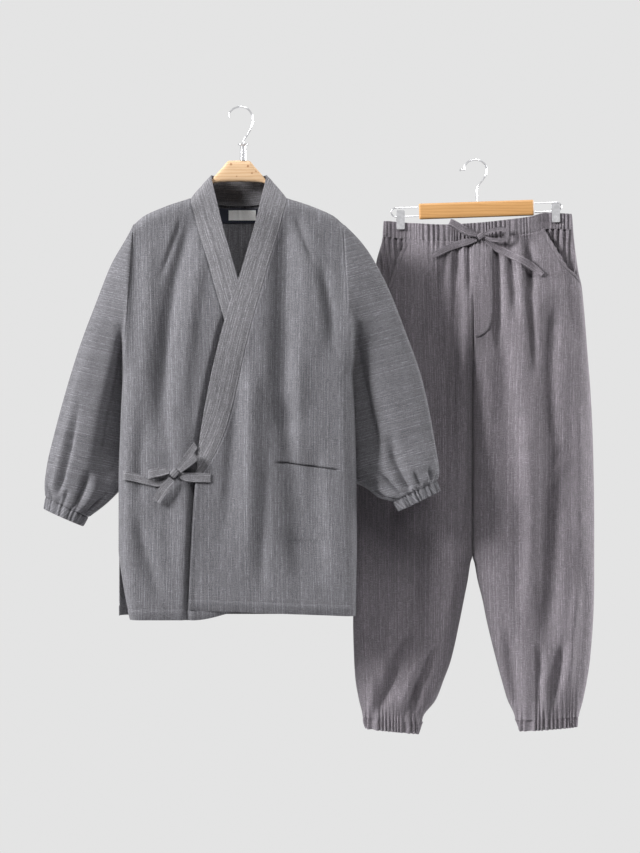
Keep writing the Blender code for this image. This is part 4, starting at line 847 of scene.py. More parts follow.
def thread_rows(name, lines, material):
    """Rows of stitches: a small flat-sided bead for each, on lines of points with their outward side."""
    places, faces = [], []
    for line, out in lines:
        gone = np.concatenate([[0], np.cumsum(np.linalg.norm(np.diff(line, axis=0), axis=1))])
        at = np.arange(STITCH["pitch"], gone[-1] - STITCH["length"], STITCH["pitch"])
        centre = np.stack([np.interp(at, gone, line[:, k]) for k in range(3)], -1)
        ahead = np.stack([np.interp(at + 0.5, gone, line[:, k]) for k in range(3)], -1)
        run = unit(ahead - centre)
        out = np.broadcast_to(np.asarray(out, float), line.shape)
        out = np.stack([np.interp(at, gone, out[:, k]) for k in range(3)], -1)
        out = unit(out - np.sum(out * run, axis=-1, keepdims=True) * run)
        side = np.cross(run, out)
        centre = centre + out * THREAD_RAISE
        ends = [run * STITCH["length"] / 2, side * STITCH["width"] / 2, out * STITCH["height"] / 2]
        bead = np.stack([centre + s * e for e in ends for s in (1, -1)], axis=1)
        start = 6 * sum(len(p) for p in places)
        places.append(bead)
        corners = [(0, 2, 4), (2, 1, 4), (1, 3, 4), (3, 0, 4), (2, 0, 5), (1, 2, 5), (3, 1, 5), (0, 3, 5)]
        base = start + 6 * np.arange(len(bead))
        faces += [tuple(int(b) + k for k in corner) for b in base for corner in corners]
    places = np.concatenate(places).reshape(-1, 3)
    return mesh_shell(name, places, faces, material)


class Surface:
    """The faces of finished pieces, asked for the y of what is met first along +Y."""

    def __init__(self, *things):
        self.trees = []
        for thing in things:
            places = [v.co[:] for v in thing.data.vertices]
            faces = [p.vertices[:] for p in thing.data.polygons]
            self.trees.append(BVHTree.FromPolygons(places, faces))

    def y(self, x, z, start=-300.0, reach=0.0):
        """The nearest y at a place, or within a small reach of it."""
        found = []
        for dx, dz in ((0, 0), (reach, 0), (-reach, 0), (0, reach), (0, -reach)):
            origin = Vector((x + dx, start, z + dz)) * MM
            hits = [tree.ray_cast(origin, Vector((0, 1, 0)))[0] for tree in self.trees]
            found += [hit.y / MM for hit in hits if hit is not None]
        return min(found)


def laid_grid(surface, xs, zs, lift, start=-300.0, reach=0.0):
    """Points laid on a surface: xs holds one row of x places for each height in zs."""
    return np.array([[(x, surface.y(x, z, start, reach) - lift, z) for x in row] for row, z in zip(xs, zs)])


# --- materials --------------------
class Graph:
    """Builds a node material: each call adds a node and returns it."""

    def __init__(self, name):
        self.material = bpy.data.materials.new(name)
        self.material.use_nodes = True
        self.tree = self.material.node_tree
        self.shader = self.tree.nodes["Principled BSDF"]

    def add(self, kind, inputs=(), **settings):
        node = self.tree.nodes.new(kind)
        for key, value in settings.items():
            setattr(node, key, value)
        for key, value in dict(inputs).items():
            self.put(node, key, value)
        return node

    def put(self, node, key, value):
        if isinstance(value, bpy.types.NodeSocket):
            self.tree.links.new(value, node.inputs[key])
        else:
            node.inputs[key].default_value = value

    def sum(self, *values):
        total = values[0]
        for value in values[1:]:
            total = self.add("ShaderNodeMath", {0: total, 1: value}, operation="ADD").outputs[0]
        return total

    def times(self, a, b):
        return self.add("ShaderNodeMath", {0: a, 1: b}, operation="MULTIPLY").outputs[0]

    def fit(self, value, low, high, to_low, to_high):
        """Carry a value from one range to another, smoothly and without leaving it."""
        return self.add("ShaderNodeMapRange", {0: value, 1: low, 2: high, 3: to_low, 4: to_high},
                        interpolation_type="SMOOTHSTEP").outputs[0]

    def noise(self, place, scale, detail=2.0):
        return self.add("ShaderNodeTexNoise", {"Vector": place, "Scale": scale, "Detail": detail}).outputs[0]

    def stretched(self, place, x, y, z):
        return self.add("ShaderNodeVectorMath", {0: place, 1: (x, y, z)}, operation="MULTIPLY").outputs[0]

    def bump(self, height, distance, strength=1.0):
        node = self.add("ShaderNodeBump", {"Height": height, "Distance": distance, "Strength": strength})
        self.put(self.shader, "Normal", node.outputs[0])

    def shade(self, **values):
        for key, value in values.items():
            self.put(self.shader, key.replace("_", " "), value)
        return self.material


def tinted(graph, colour, value):
    """A colour made lighter and darker by a value around 1."""
    return graph.add("ShaderNodeVectorMath", {0: colour, "Scale": value}, operation="SCALE").outputs[0]


def striped_cloth(name, tone):
    """Matt slubbed cotton with uneven fine light lines, a few millimetres apart."""
    g = Graph(name)
    cut = g.add("ShaderNodeAttribute", attribute_name="cut").outputs["Vector"]
    across = g.add("ShaderNodeSeparateXYZ", {0: cut}).outputs[0]
    line = g.add("ShaderNodeTexVoronoi", {"W": across, "Scale": 1 / PIN_PITCH, "Randomness": 0.8},
                 voronoi_dimensions="1D")
    own = g.add("ShaderNodeSeparateColor", {0: line.outputs["Color"]}).outputs[0]
    core = g.fit(line.outputs["Distance"], 0.04, 0.22, 1.0, 0.0)
    broken = g.fit(g.noise(g.stretched(cut, 260, 90, 1), 1.0), 0.35, 0.62, 0.1, 1.0)
    pins = g.times(g.times(core, g.fit(own, 0.1, 0.9, 0.2, 1.0)), broken)
    streaks = g.fit(g.noise(g.stretched(cut, 600, 36, 1), 1.0), 0.32, 0.68, 0.0, 1.0)
    broad = g.fit(g.noise(g.stretched(cut, 70, 4, 1), 1.0), 0.30, 0.70, 0.0, 1.0)
    slubs = g.fit(g.noise(g.stretched(cut, 90, 520, 1), 1.0), 0.52, 0.74, 0.0, 1.0)
    grain = g.fit(g.noise(cut, 560, 4.0), 0.30, 0.70, 0.0, 1.0)
    value = g.sum(0.38, g.times(pins, 0.62), g.times(streaks, 0.26), g.times(broad, 0.10),
                  g.times(slubs, 0.34), g.times(grain, 0.50))
    warp = g.add("ShaderNodeTexWave", {"Vector": cut, "Scale": 420.0, "Distortion": 1.5, "Detail": 1.0},
                 bands_direction="X").outputs["Fac"]
    weft = g.add("ShaderNodeTexWave", {"Vector": cut, "Scale": 420.0, "Distortion": 1.5, "Detail": 1.0},
                 bands_direction="Y").outputs["Fac"]
    height = g.sum(g.times(warp, 0.3), g.times(weft, 0.3), g.times(streaks, 0.7), g.times(slubs, 0.5),
                   g.times(grain, 0.6))
    g.bump(height, 0.0005, 0.8)
    return g.shade(Base_Color=tinted(g, tone, value), Roughness=g.fit(grain, 0.0, 1.0, 0.86, 0.97),
                   Sheen_Weight=0.12, Sheen_Roughness=0.5, Specular_IOR_Level=0.25)


def plain_weave(name, tone, thread, sheen, roughness):
    """A small plain piece of cloth, such as a tape or label."""
    g = Graph(name)
    place = g.add("ShaderNodeTexCoord").outputs["Object"]
    grain = g.noise(place, 900, 3.0)
    warp = g.add("ShaderNodeTexWave", {"Vector": place, "Scale": thread, "Distortion": 0.6},
                 bands_direction="X").outputs["Fac"]
    weft = g.add("ShaderNodeTexWave", {"Vector": place, "Scale": thread, "Distortion": 0.6},
                 bands_direction="Z").outputs["Fac"]
    g.bump(g.sum(g.times(warp, 0.5), g.times(weft, 0.5), g.times(grain, 0.5)), 0.0003, 0.6)
    value = g.sum(0.75, g.times(grain, 0.35), g.times(weft, 0.12))
    return g.shade(Base_Color=tinted(g, tone, value), Roughness=g.fit(grain, 0.3, 0.7, roughness - 0.05,
                                                                     roughness + 0.04),
                   Sheen_Weight=sheen, Sheen_Roughness=0.4)


def wood(name, pale, dark, knots=(), roughness=0.42):
    """Clear-finished wood with its grain along X, and knots where they are named."""
    g = Graph(name)
    place = g.add("ShaderNodeTexCoord").outputs["Object"]
    swirl = None
    for x, z, size in knots:
        gap = g.add("ShaderNodeVectorMath", {0: g.stretched(place, 1, 0, 1), 1: (x * MM, 0, z * MM)},
                    operation="DISTANCE").outputs["Value"]
        near = g.fit(gap, 0.3 * size * MM, 1.3 * size * MM, 1.0, 0.0)
        swirl = near if swirl is None else g.add("ShaderNodeMath", {0: swirl, 1: near},
                                                 operation="MAXIMUM").outputs[0]
    rings = g.add("ShaderNodeTexWave", {"Vector": g.stretched(place, 0.10, 1, 1), "Scale": 55.0,
                                        "Distortion": 5.0, "Detail": 2.0, "Detail Scale": 1.5},
                  bands_direction="Z").outputs["Fac"]
    fibres = g.noise(g.stretched(place, 40, 1600, 1600), 1.0, 3.0)
    patches = g.noise(g.stretched(place, 12, 60, 60), 1.0)
    share = g.sum(g.times(rings, 0.34), g.times(fibres, 0.40), g.times(patches, 0.26))
    share = g.fit(share, 0.30, 0.78, 0.0, 1.0)
    colour = g.add("ShaderNodeMix", {"Factor": share, 6: pale, 7: dark}, data_type="RGBA").outputs[2]
    if swirl is not None:
        knot = (dark[0] * 0.55, dark[1] * 0.42, dark[2] * 0.35, 1)
        colour = g.add("ShaderNodeMix", {"Factor": swirl, 6: colour, 7: knot}, data_type="RGBA").outputs[2]
    g.bump(g.sum(g.times(fibres, 0.6), g.times(rings, 0.4)), 0.0003, 0.5)
    return g.shade(Base_Color=colour, Roughness=g.fit(fibres, 0.2, 0.8, roughness - 0.06, roughness + 0.12),
                   Coat_Weight=0.15, Coat_Roughness=0.3)


def plated(name):
    """Bright plated steel with faint drawing lines and dulled spots."""
    g = Graph(name)
    place = g.add("ShaderNodeTexCoord").outputs["Object"]
    haze = g.noise(place, 160, 3.0)
    lines = g.noise(g.stretched(place, 300, 2500, 300), 1.0)
    g.bump(g.sum(g.times(lines, 0.4), g.times(haze, 0.6)), 0.00008, 0.4)
    value = g.fit(haze, 0.3, 0.7, 0.90, 1.04)
    return g.shade(Base_Color=tinted(g, (0.70, 0.70, 0.72), value), Metallic=1.0,
                   Roughness=g.fit(haze, 0.3, 0.75, 0.12, 0.28))


PIN_PITCH = 0.0046
JACKET_CLOTH = striped_cloth("jacket_cloth", (0.190, 0.187, 0.203))
TROUSER_CLOTH = striped_cloth("trouser_cloth", (0.235, 0.213, 0.236))
BAND_CLOTH = striped_cloth("band_cloth", (0.235, 0.230, 0.246))
THREAD = plain_weave("thread", (0.17, 0.168, 0.182), 1500.0, 0.1, 0.8)
NAVY_CLOTH = plain_weave("navy_patch_cloth", (0.014, 0.016, 0.030), 700.0, 0.25, 0.85)
LABEL_CLOTH = plain_weave("label_satin", (0.94, 0.94, 0.93), 1200.0, 0.35, 0.55)
# knots of the pine: x, z and size
PINE_KNOTS = ((-16.5, -105.5, 2.6), (15.0, -109.0, 2.4), (22.5, -122.0, 2.0), (30.0, -118.5, 1.6),
              (-6.0, -128.0, 1.5), (-120.0, -196.0, 2.2), (96.0, -186.0, 2.0), (132.0, -199.0, 1.8))
PINE = wood("pine_wood", (0.70, 0.49, 0.30, 1), (0.60, 0.38, 0.21, 1), PINE_KNOTS)
HONEY = wood("honey_slat_wood", (0.66, 0.36, 0.135, 1), (0.55, 0.28, 0.095, 1))
CHROME = plated("plated_steel")


# --- seams and hems --------------------
JACKET_HEM = 20.0
HEM_CURL = table("from_hem inward", [(0, 5.5), (5, 3.0), (14, 0)])


def seam_relief(grid, seams, hems=()):
    """Dip of the cloth at its seams, and the step and the stitched groove of its hems."""
    far = edge_distances(grid)
    relief = np.zeros(grid.shape[:2])
    for edge in seams:
        relief += 0.35 * groove(far[edge], 4.5, 2.5) - 0.8 * groove(far[edge], 0.0, 1.8)
    for edge, depth in hems:
        relief += 0.5 * smooth((depth - far[edge]) / 2.5) - 0.6 * groove(far[edge], depth, 1.3)
    return relief


def hem_rows(count, length, depth):
    """Rows of a panel with three more at its hem's line of stitching."""
    return spaced(count, extra=[1 - (depth + step) / length for step in (-1.4, 0, 1.4)])


# --- jacket --------------------
def overlap_gap(x, z):
    """The lower front sinks away beside the edge of the front that laps over it."""
    edge = np.where(z > COLLAR_END_Z, along(COLLAR, "free_z", "free_out", z),
                    along(FRONT_EDGE, "z", "out", z))
    return 8.0 * smooth((-330 - z) / 90) * np.exp(-((x - CENTRE - edge + 2.5) / 5.0) ** 2)


def pocket_slit(x, z):
    """The front sinks away just above the pocket's mouth."""
    left, right = POCKET["mouth_x"]
    s = (x - left) / (right - left)
    line = POCKET["top"][0] + (POCKET["top"][1] - POCKET["top"][0]) * s + 1.6
    return 4.5 * smooth(s / 0.06) * smooth((1 - s) / 0.06) * np.exp(-((z - line) / 2.2) ** 2)


# patch pocket of the lapping front: places across the panel, heights of its mouth, and of its bottom
POCKET = {"u": (0.4444, 0.8178), "mouth_x": (68.0, 185.0), "top": (-661.0, -676.0), "bottom": -803.0,
          "gape": 2.0}


# how finely pieces are divided: columns across or around, then rows down; front -1, back 1
SLEEVE_AROUND, SLEEVE_ROWS, CUFF_AROUND, HEM_CUFF_AROUND = 168, 104, 216, 300
LEG_GRID = {-1: (136, 168), 1: (78, 108)}
BAND_AROUND = {-1: 330, 1: 220}
NECK_STATIONS = 44         # stations of a collar, from the centre back to the neck side
PANEL_LENGTH = 765         # of a jacket panel, from shoulder to hem


def front(name, side):
    rows = hem_rows(160, PANEL_LENGTH, JACKET_HEM)
    if side > 0:
        rows = np.union1d(rows, np.linspace(0.602, 0.652, 34))      # at the pocket's mouth
    u, v = np.meshgrid(spaced(96), rows)
    grid = front_point(side, u, v)
    far = edge_distances(grid)
    relief = seam_relief(grid, ("u0", "u1", "v0"), (("v1", JACKET_HEM),))
    grid[..., 1] += np.interp(far["v1"], HEM_CURL["from_hem"], HEM_CURL["inward"])
    if side > 0:
        grid[..., 1] += pocket_slit(grid[..., 0], grid[..., 2])
    else:
        grid[..., 1] += overlap_gap(grid[..., 0], grid[..., 2])
    piece, outer, _ = cloth(name, grid, JACKET_CLOTH, TO_FRONT, relief)
    JACKET_LINES.append((inset_line(outer, "v1", JACKET_HEM), (0, -1, 0)))
    JACKET_LINES.append((inset_line(outer, "u1", 5.0), (0, -1, 0)))
    return piece


def back(name, side):
    u, v = np.meshgrid(spaced(58), hem_rows(108, PANEL_LENGTH, JACKET_HEM))
    grid = back_point(side, u, v)
    relief = seam_relief(grid, ("u0", "u1", "v0"), (("v1", JACKET_HEM),))
    piece, outer, _ = cloth(name, grid, JACKET_CLOTH, TO_BACK, relief)
    JACKET_LINES.append((inset_line(outer, "v1", JACKET_HEM), (0, 1, 0)))
    return piece


# creases and stitched lines of a collar band: share of its width, depth and half width
COLLAR_LINES = {-1: table("share depth half", [(0.07, 0.4, 0.02), (0.50, 0.7, 0.045), (0.80, 0.35, 0.04)]),
                1: table("share depth half", [(0.07, 0.4, 0.02), (0.62, 0.45, 0.03), (0.93, 0.35, 0.02)])}


def collar(name, side):
    stations = np.concatenate([np.linspace(0, 1, NECK_STATIONS)[:-1], np.linspace(1, 2, 190)])
    u, v = np.meshgrid(spaced(20), stations)
    grid = collar_point(side, u, v)
    relief = crown(u) - 0.6
    for share, depth, half in rows_of(COLLAR_LINES[side], "share depth half"):
        relief -= depth * np.exp(-((u - share) / half) ** 2)
    relief += 0.35 * np.sin(v * 31 + u * 3) * np.sin(v * 13 + side) * u
    piece, outer, normals = cloth(name, grid, BAND_CLOTH, TO_FRONT, relief, slot="band", wall=2.2,
                                  cut=upright_cut)
    for share in (0.07, 0.93):
        column = np.argmin(abs(spaced(20) - share))
        JACKET_LINES.append((outer[NECK_STATIONS:, column], normals[NECK_STATIONS:, column]))
    return piece


def sleeve(name, side):
    turn, ring = np.meshgrid(ring_turns(SLEEVE_AROUND), LAST_RING * spaced(SLEEVE_ROWS))
    grid = sleeve_point(side, turn, ring)
    relief = seam_relief(grid, ("v0", "v1"))
    return cloth(name, grid, JACKET_CLOTH, look_out, relief, closed=True, cut=sleeve_cut)[0]


def sleeve_cuff(name, side):
    turn, row = np.meshgrid(ring_turns(CUFF_AROUND), spaced(8))
    grid = cuff_point(side, turn, row)
    relief = 0.8 * crown(row) - 0.8
    return cloth(name, grid, JACKET_CLOTH, look_out, relief, slot="band", wall=2.0, closed=True,
                 cut=sleeve_cut)[0]


def pocket_point(s, t):
    """A place on the panel under the pocket: s across it, t down it."""
    u = POCKET["u"][0] + (POCKET["u"][1] - POCKET["u"][0]) * s
    top = POCKET["top"][0] + (POCKET["top"][1] - POCKET["top"][0]) * s
    z = top + (POCKET["bottom"] - top) * t
    across = 1 - crowd(1 - u)
    ridge = ridge_z(NECK_HALF + (TIP_OUT[1] - NECK_HALF) * across)
    return front_point(1, u, (ridge - z) / (ridge - front_hem_z(1, across)))


def patch_pocket():
    s, t = np.meshgrid(spaced(40), spaced(44, extra=(0.13, 0.14, 0.15)))
    grid = pocket_point(s, t)
    far = edge_distances(grid)
    sewn = np.minimum(np.minimum(far["u0"], far["u1"]), far["v1"])
    relief = 0.75 + 0.25 * smooth(sewn / 8)
    relief += POCKET["gape"] * np.exp(-far["v0"] / 16) * np.sin(math.pi * s) ** 0.8
    piece, outer, _ = cloth("patch_pocket", grid, JACKET_CLOTH, TO_FRONT, relief, wall=0.6)
    for edge in ("u0", "u1", "v1"):
        JACKET_LINES.append((inset_line(outer, edge, 2.2), (0, -1, 0)))
    return piece


def neck_pieces(backs):
    """Dark patch over the back neck seam, and a blank woven label sewn on it."""
    xs, zs = np.linspace(-56, 52, 60), np.linspace(-185, -213, 16)
    grid = laid_grid(Surface(*backs), np.tile(xs, (16, 1)), zs, 0.9, start=10.0)
    relief = seam_relief(grid, ("u0", "u1", "v0", "v1")) * 0.4
    patch = cloth("neck_patch", grid, NAVY_CLOTH, TO_FRONT, relief, slot="navy_cloth", wall=0.7)[0]
    xs, zs = np.linspace(-22, 29, 30), np.linspace(-188.5, -207.5, 12)
    grid = laid_grid(Surface(patch), np.tile(xs, (12, 1)), zs, 0.6, start=10.0)
    label = cloth("neck_label", grid, LABEL_CLOTH, TO_FRONT, slot="white_cloth", wall=0.5)[0]
    return patch, label


# --- flat ties --------------------
STRIP_COLUMNS = "x y z lean width"


def strip_grid(rows, count):
    """Points of a flat strip; `lean` is the way of its width in the picture plane, from +X."""
    route = table(STRIP_COLUMNS, rows)
    route["at"] = np.arange(len(rows), dtype=float)
    at = np.linspace(0, len(rows) - 1, count)
    x, y, z, lean, width = (along(route, "at", c, at) for c in STRIP_COLUMNS.split())
    lean = np.radians(lean)
    half = points(np.cos(lean), 0, np.sin(lean)) * width[:, None] / 2
    share = np.linspace(-1, 1, 11)
    return points(x, y, z)[:, None] + half[:, None] * share[:, None], share


def strip(name, rows, count, material, lines):
    """A flat sewn strip along a route, with a stitched line near each edge."""
    grid, share = strip_grid(rows, count)
    gone = lengths(grid, 0)
    stitched = np.exp(-((abs(share) - 0.75) / 0.12) ** 2)
    relief = 0.35 * (1 - share ** 4) + 0.25 * np.sin(gone / 5.0) * share - 0.3 * stitched
    piece, outer, normals = cloth(name, grid, material, relief=relief, slot="band", wall=1.3,
                                  cut=upright_cut)
    for column in (1, -2):
        lines.append((outer[:, column], normals[:, column]))
    return piece


def knot(name, centre, size, slant, material):
    """A flat knot: a square-edged lump turned on its corner, with the strip's layers wound round it."""
    turn, rise = np.meshgrid(np.arange(64) * 2 * math.pi / 64, np.linspace(-0.97, 0.97, 40) * math.pi / 2)
    shape = points(np.cos(turn) * np.cos(rise), np.sin(turn) * np.cos(rise), np.sin(rise))
    shape = np.sign(shape) * abs(shape) ** 0.62
    across, up = shape[..., 0], shape[..., 2]
    layers = 1 - 0.16 * groove(across, 0.42, 0.09) - 0.16 * groove(across, -0.30, 0.09)
    layers -= 0.10 * groove(up - 0.5 * across, -0.1, 0.10) * (abs(across - 0.06) < 0.3)
    x, y, z = np.moveaxis(shape * layers[..., None] * np.array(size) / 2, -1, 0)
    cos, sin = math.cos(slant), math.sin(slant)
    places = points(x * cos - z * sin, y, x * sin + z * cos) + np.array(centre)
    return mesh_shell(name + "_cloth", places.reshape(-1, 3), ring_faces(40, 64), material, (name,))


TIE_KNOT = (-119.0, -679.0)
CORD_KNOT = (452.0, -234.0)


def jacket_ties(front):
    kx, kz = TIE_KNOT
    ky = front.y(kx, kz) - 8.5
    pieces = {"knot": knot("tie_knot", (kx, ky, kz), (14, 8.5, 17), -0.75, BAND_CLOTH)}

    def lay(x, z, lift):
        return front.y(x, z) - lift

    routes = {
        "side_strap": (50, [
            (-215, lay(-212, -683, 3.0), -683, 90, 18), (-209, lay(-209, -684, 5.0), -684, 90, 17),
            (-192, lay(-192, -687, 4.0), -687, 84, 16), (-170, lay(-170, -695, 3.6), -695, 80, 11),
            (-150, lay(-150, -699, 3.4), -699, 92, 10), (-132, lay(-132, -694, 3.4), -694, 110, 8)]),
        "loop_left": (70, [
            (-128.5, ky + 1.5, -680, 84, 8), (-146, lay(-146, -681, 6.6), -681, 86, 15),
            (-162, lay(-162, -683, 6.8), -683, 88, 16), (-168, lay(-168, -682, 9.0), -682, 90, 16),
            (-162, lay(-162, -680, 11.4), -680, 90, 17), (-146, lay(-146, -677, 11.4), -677, 88, 16),
            (-128.5, ky - 2.2, -676, 84, 8)]),
        "tail_left": (34, [
            (-124.5, ky - 3.5, -689.5, -36, 12), (-133, ky - 2.5, -701, -37, 16),
            (-145, ky - 1.0, -717, -37, 17), (-154, ky + 1.0, -731, -30, 17)]),
        "loop_right": (70, [
            (-110, ky + 1, -674, 126, 8), (-97, ky - 1, -664, 122, 12), (-84, ky - 3, -653, 122, 13),
            (-78.5, ky - 5.5, -648, 124, 13), (-83, ky - 8, -652, 126, 13), (-97, ky - 7, -664, 126, 12),
            (-110, ky - 3, -675, 126, 8)]),
        "tail_right": (34, [
            (-112, ky + 3.2, -669, 130, 9), (-101, ky + 3.0, -655, 128, 12), (-88, ky + 2.6, -638, 126, 13),
            (-80, ky + 2.4, -627, 120, 13)]),
        "front_strap": (40, [
            (-110, ky + 1, -683, 92, 11), (-98, ky + 0.5, -686, 90, 16),
            (-84, lay(-74, -687, 3.4), -687, 90, 17), (-72, lay(-72, -687, 2.6), -687, 90, 17),
            (-53, lay(-53, -688, 2.6), -688, 90, 16)])}
    for name, (count, rows) in routes.items():
        pieces[name] = strip("tie_" + name, rows, count, BAND_CLOTH, JACKET_LINES)
    return pieces


# --- trousers --------------------
def leg(name, side, half):
    count, rows = LEG_GRID[half]
    u, v = np.meshgrid(spaced(count), spaced(rows))
    reach = mouth_reach(side, v) if half < 0 else 1.0
    grid = leg_point(side, half, u * reach, v)
    far = edge_distances(grid)
    relief = seam_relief(grid, ("u0", "u1", "v0"))
    if half < 0:
        open_mouth = smooth((0.16 - v) / 0.05)
        relief += open_mouth * (1.6 * groove(far["u1"], 0, 3) + 0.5 * smooth((8 - far["u1"]) / 3)
                                - 0.5 * groove(far["u1"], 7.5, 1.5))
    piece, outer, _ = cloth(name, grid, TROUSER_CLOTH, look_to(0, half, 0), relief)
    TROUSER_LINES.append((inset_line(outer, "u0", 3.0), (0, half, 0)))
    if half < 0:
        mouth = inset_line(outer, "u1", 7.0)
        TROUSER_LINES.append((mouth[:np.searchsorted(v[:, 0], 0.15)], (0, -1, 0)))
    return piece


FACING_DEPTH = 9.0         # how deep the facing lies under the mouth
FACING_TURN_IN = 1 / 12    # share of the front's width that it runs on under its edge


def facing_reach(column, reach):
    """Place of a facing column across its row; column -1 is under the front's edge, 0 at the mouth."""
    return np.where(column < 0, reach * (1 + column * FACING_TURN_IN), reach + column * (1 - reach))




def pocket_facing(name, side):
    """Folded side panel seen inside the pocket mouth."""
    last = POCKET_MOUTH[side]["v"][-1] * 0.985
    column, v = np.meshgrid(np.linspace(-1, 1, 56), np.linspace(0, last, 56))
    grid = leg_point(side, -1, facing_reach(column, mouth_reach(side, v)), v)
    fold = np.sin(grid[..., 0] / 1.75 + 0.6 * np.sin(grid[..., 2] / 22))
    relief = 2.8 * fold * smooth((1 - column) / 0.4)
    relief -= 6.0 * np.exp(-(column / 0.10) ** 2) * smooth(v / 0.03)
    relief -= FACING_DEPTH * (1 - smooth(column * 1.1)) * (0.25 + 0.75 * smooth(v / 0.03))
    return cloth(name, grid, TROUSER_CLOTH, TO_FRONT, relief, slot="facing_cloth", wall=1.0)[0]


BAND_LINES = (3.0, 15.0, 27.0)     # rows of stitching round the waistband, down from its top


def waistband(name, half):
    w, v = np.meshgrid(np.linspace(-1, 1, BAND_AROUND[half]), spaced(10))
    grid = band_point(half, w, v)
    far = edge_distances(grid)
    relief = 0.7 * crown(v) - 0.7 - 0.3 * groove(far["v0"], 15, 2.5)
    piece, outer, _ = cloth(name, grid, TROUSER_CLOTH, look_to(0, half, 0), relief, wall=2.0)
    for inset in BAND_LINES:
        TROUSER_LINES.append((inset_line(outer, "v0", inset), (0, half, 0)))
    return piece


def hem_cuff(name, side):
    """Elastic hem of a leg, in the ribs of the panels above it."""
    turn, row = np.meshgrid(ring_turns(HEM_CUFF_AROUND), spaced(8))
    grid = ring_point(HEM_CUFFS[side], "row", row, turn)
    swing = abs(np.sin(2 * math.pi * turn))
    relief = (1.2 + 0.5 * row) * smooth(swing / 0.25) * hem_gathers(grid[..., 0], HEM_LINE_Z)
    relief += 0.4 * crown(row) - 0.4
    return cloth(name, grid, TROUSER_CLOTH, look_out, relief, slot="band", wall=2.0, closed=True,
                 cut=upright_cut)[0]


FLY_EDGE = table("z right", [(-255, 475), (-272, 475.5), (-308, 476), (-340, 476), (-378, 475), (-402, 470),
                             (-417, 459), (-424, 447)])


def fly(front):
    zs = np.linspace(-255, -424, 60)
    right = along(FLY_EDGE, "z", "right", zs)
    xs = np.array([np.linspace(440.5, edge, 26) for edge in right])
    grid = laid_grid(front, xs, zs, 1.5, reach=1.5)
    piece, outer, _ = cloth("fly", grid, TROUSER_CLOTH, TO_FRONT, seam_relief(grid, ("u1", "v1")) * 0.6,
                            wall=1.0)
    for inset in (2.0, 5.5):
        TROUSER_LINES.append((inset_line(outer, "u1", inset), (0, -1, 0)))
    return piece


def drawstring(front):
    kx, kz = CORD_KNOT
    ky = front.y(kx, kz) - 8.0
    pieces = {"knot": knot("drawstring_knot", (kx, ky, kz), (11, 8.5, 13), -0.95, TROUSER_CLOTH)}

    def lay(x, z, lift):
        return front.y(x, z) - lift

    routes = {
        "loop_left": (90, [
            (444, ky + 1.5, -233.5, 66, 7), (430, ky + 1.0, -229, 62, 12), (410, ky + 1.0, -218, 60, 13),
            (396, ky - 0.5, -209, 62, 13), (393.5, ky - 2.5, -207.5, 62, 13), (398, ky - 4.5, -209, 62, 13),
            (412, ky - 4.5, -217, 60, 13), (430, ky - 3.5, -227, 62, 12), (444, ky - 2, -232, 66, 7)]),
        "loop_right": (90, [
            (460, ky + 0.5, -230, 100, 6), (474, ky - 1, -223, 104, 8), (490, ky - 2.5, -220.5, 90, 8),
            (501, ky - 4, -226, 30, 8), (501, ky - 4.5, -236, -20, 8), (490, ky - 4.0, -242, -80, 8),
            (474, ky - 3, -241, -80, 8), (460, ky - 1.5, -237, -76, 6)]),
        "tail_long": (70, [
            (460, ky + 1.2, -242.5, 58, 7), (482, lay(482, -256.5, 7.2), -256.5, 58, 12),
            (506, lay(506, -268, 5.0), -268, 60, 14), (530, lay(530, -280, 5.0), -280, 62, 14),
            (552, lay(552, -294, 9.0), -294, 60, 13), (568, lay(568, -307, 4.5), -307, 52, 9)]),
        "tail_short": (50, [
            (444.5, ky + 2.4, -241, 104, 6), (424, lay(424, -245, 4.4), -245, 104, 13),
            (404, lay(404, -251, 3.6), -251, 112, 13), (380, lay(380, -261, 3.6), -261, 118, 13),
            (361, lay(361, -271, 3.5), -271, 120, 11)])}
    for name, (count, rows) in routes.items():
        pieces[name] = strip("drawstring_" + name, rows, count, TROUSER_CLOTH, TROUSER_LINES)
    return pieces


def eyelet(front):
    """Upright buttonhole that the drawstring leaves the waistband by: two close rows of thread."""
    for x in (503.6, 506.2):
        line = np.array([(x, front.y(x, z) - 0.2, z) for z in np.linspace(-226, -257, 20)])
        TROUSER_LINES.append((line, (0, -1, 0)))


# --- hangers --------------------
HANGER_WOOD = table("out top bottom half_y", [
    (0, -98, -137.5, 6.0), (18, -98.5, -137.8, 6.0), (31, -111.5, -138.3, 5.6), (42, -123.8, -139.3, 5.0),
    (51, -134, -142.8, 4.4), (60, -145, -158.8, 4.4), (74, -161, -181, 4.8), (88, -174, -197, 5.8),
    (108, -179.5, -205, 7.0), (130, -186.5, -213, 7.2), (155, -198, -224, 6.6), (170, -207, -231, 5.5),
    (178, -212, -231, 4.2)])
HOOK_WIRE, CLIP_WIRE = 1.8, 1.3          # radii
FERRULE = table("radius z", [
    (2.6, -65.8), (6.0, -66.1), (9.4, -67.2), (10.0, -68.0), (10.0, -69.0), (9.4, -69.7), (6.2, -70.6),
    (5.5, -71.4), (5.6, -75), (6.1, -88), (6.5, -97.7)])
FERRULE_X = 6.0
JACKET_HOOK = ((-20.5, -17), (-20.2, -12), (-16.5, -5.5), (-10, -0.8), (1, 2), (11, -0.2), (18.5, -6.2),
               (22.6, -15), (23.2, -26), (20.5, -38), (14, -50), (8, -59), (6.1, -62.8), (6.0, -65.6))
TROUSER_HOOK = ((413, -108.6), (417, -106.6), (421.5, -107), (422.4, -101.5), (426.5, -94.6),
                (434, -89.6), (443.6, -87.7), (453.5, -90), (461, -96.2), (464.4, -105), (463.5, -114.5),
                (458, -124.8), (450, -135), (446.2, -143), (445.3, -154), (445.2, -166.6))
SLAT = {"x": 445.0, "z": -182.3, "half_length": 108.5, "half_height": 15.0, "half_y": 5.0}
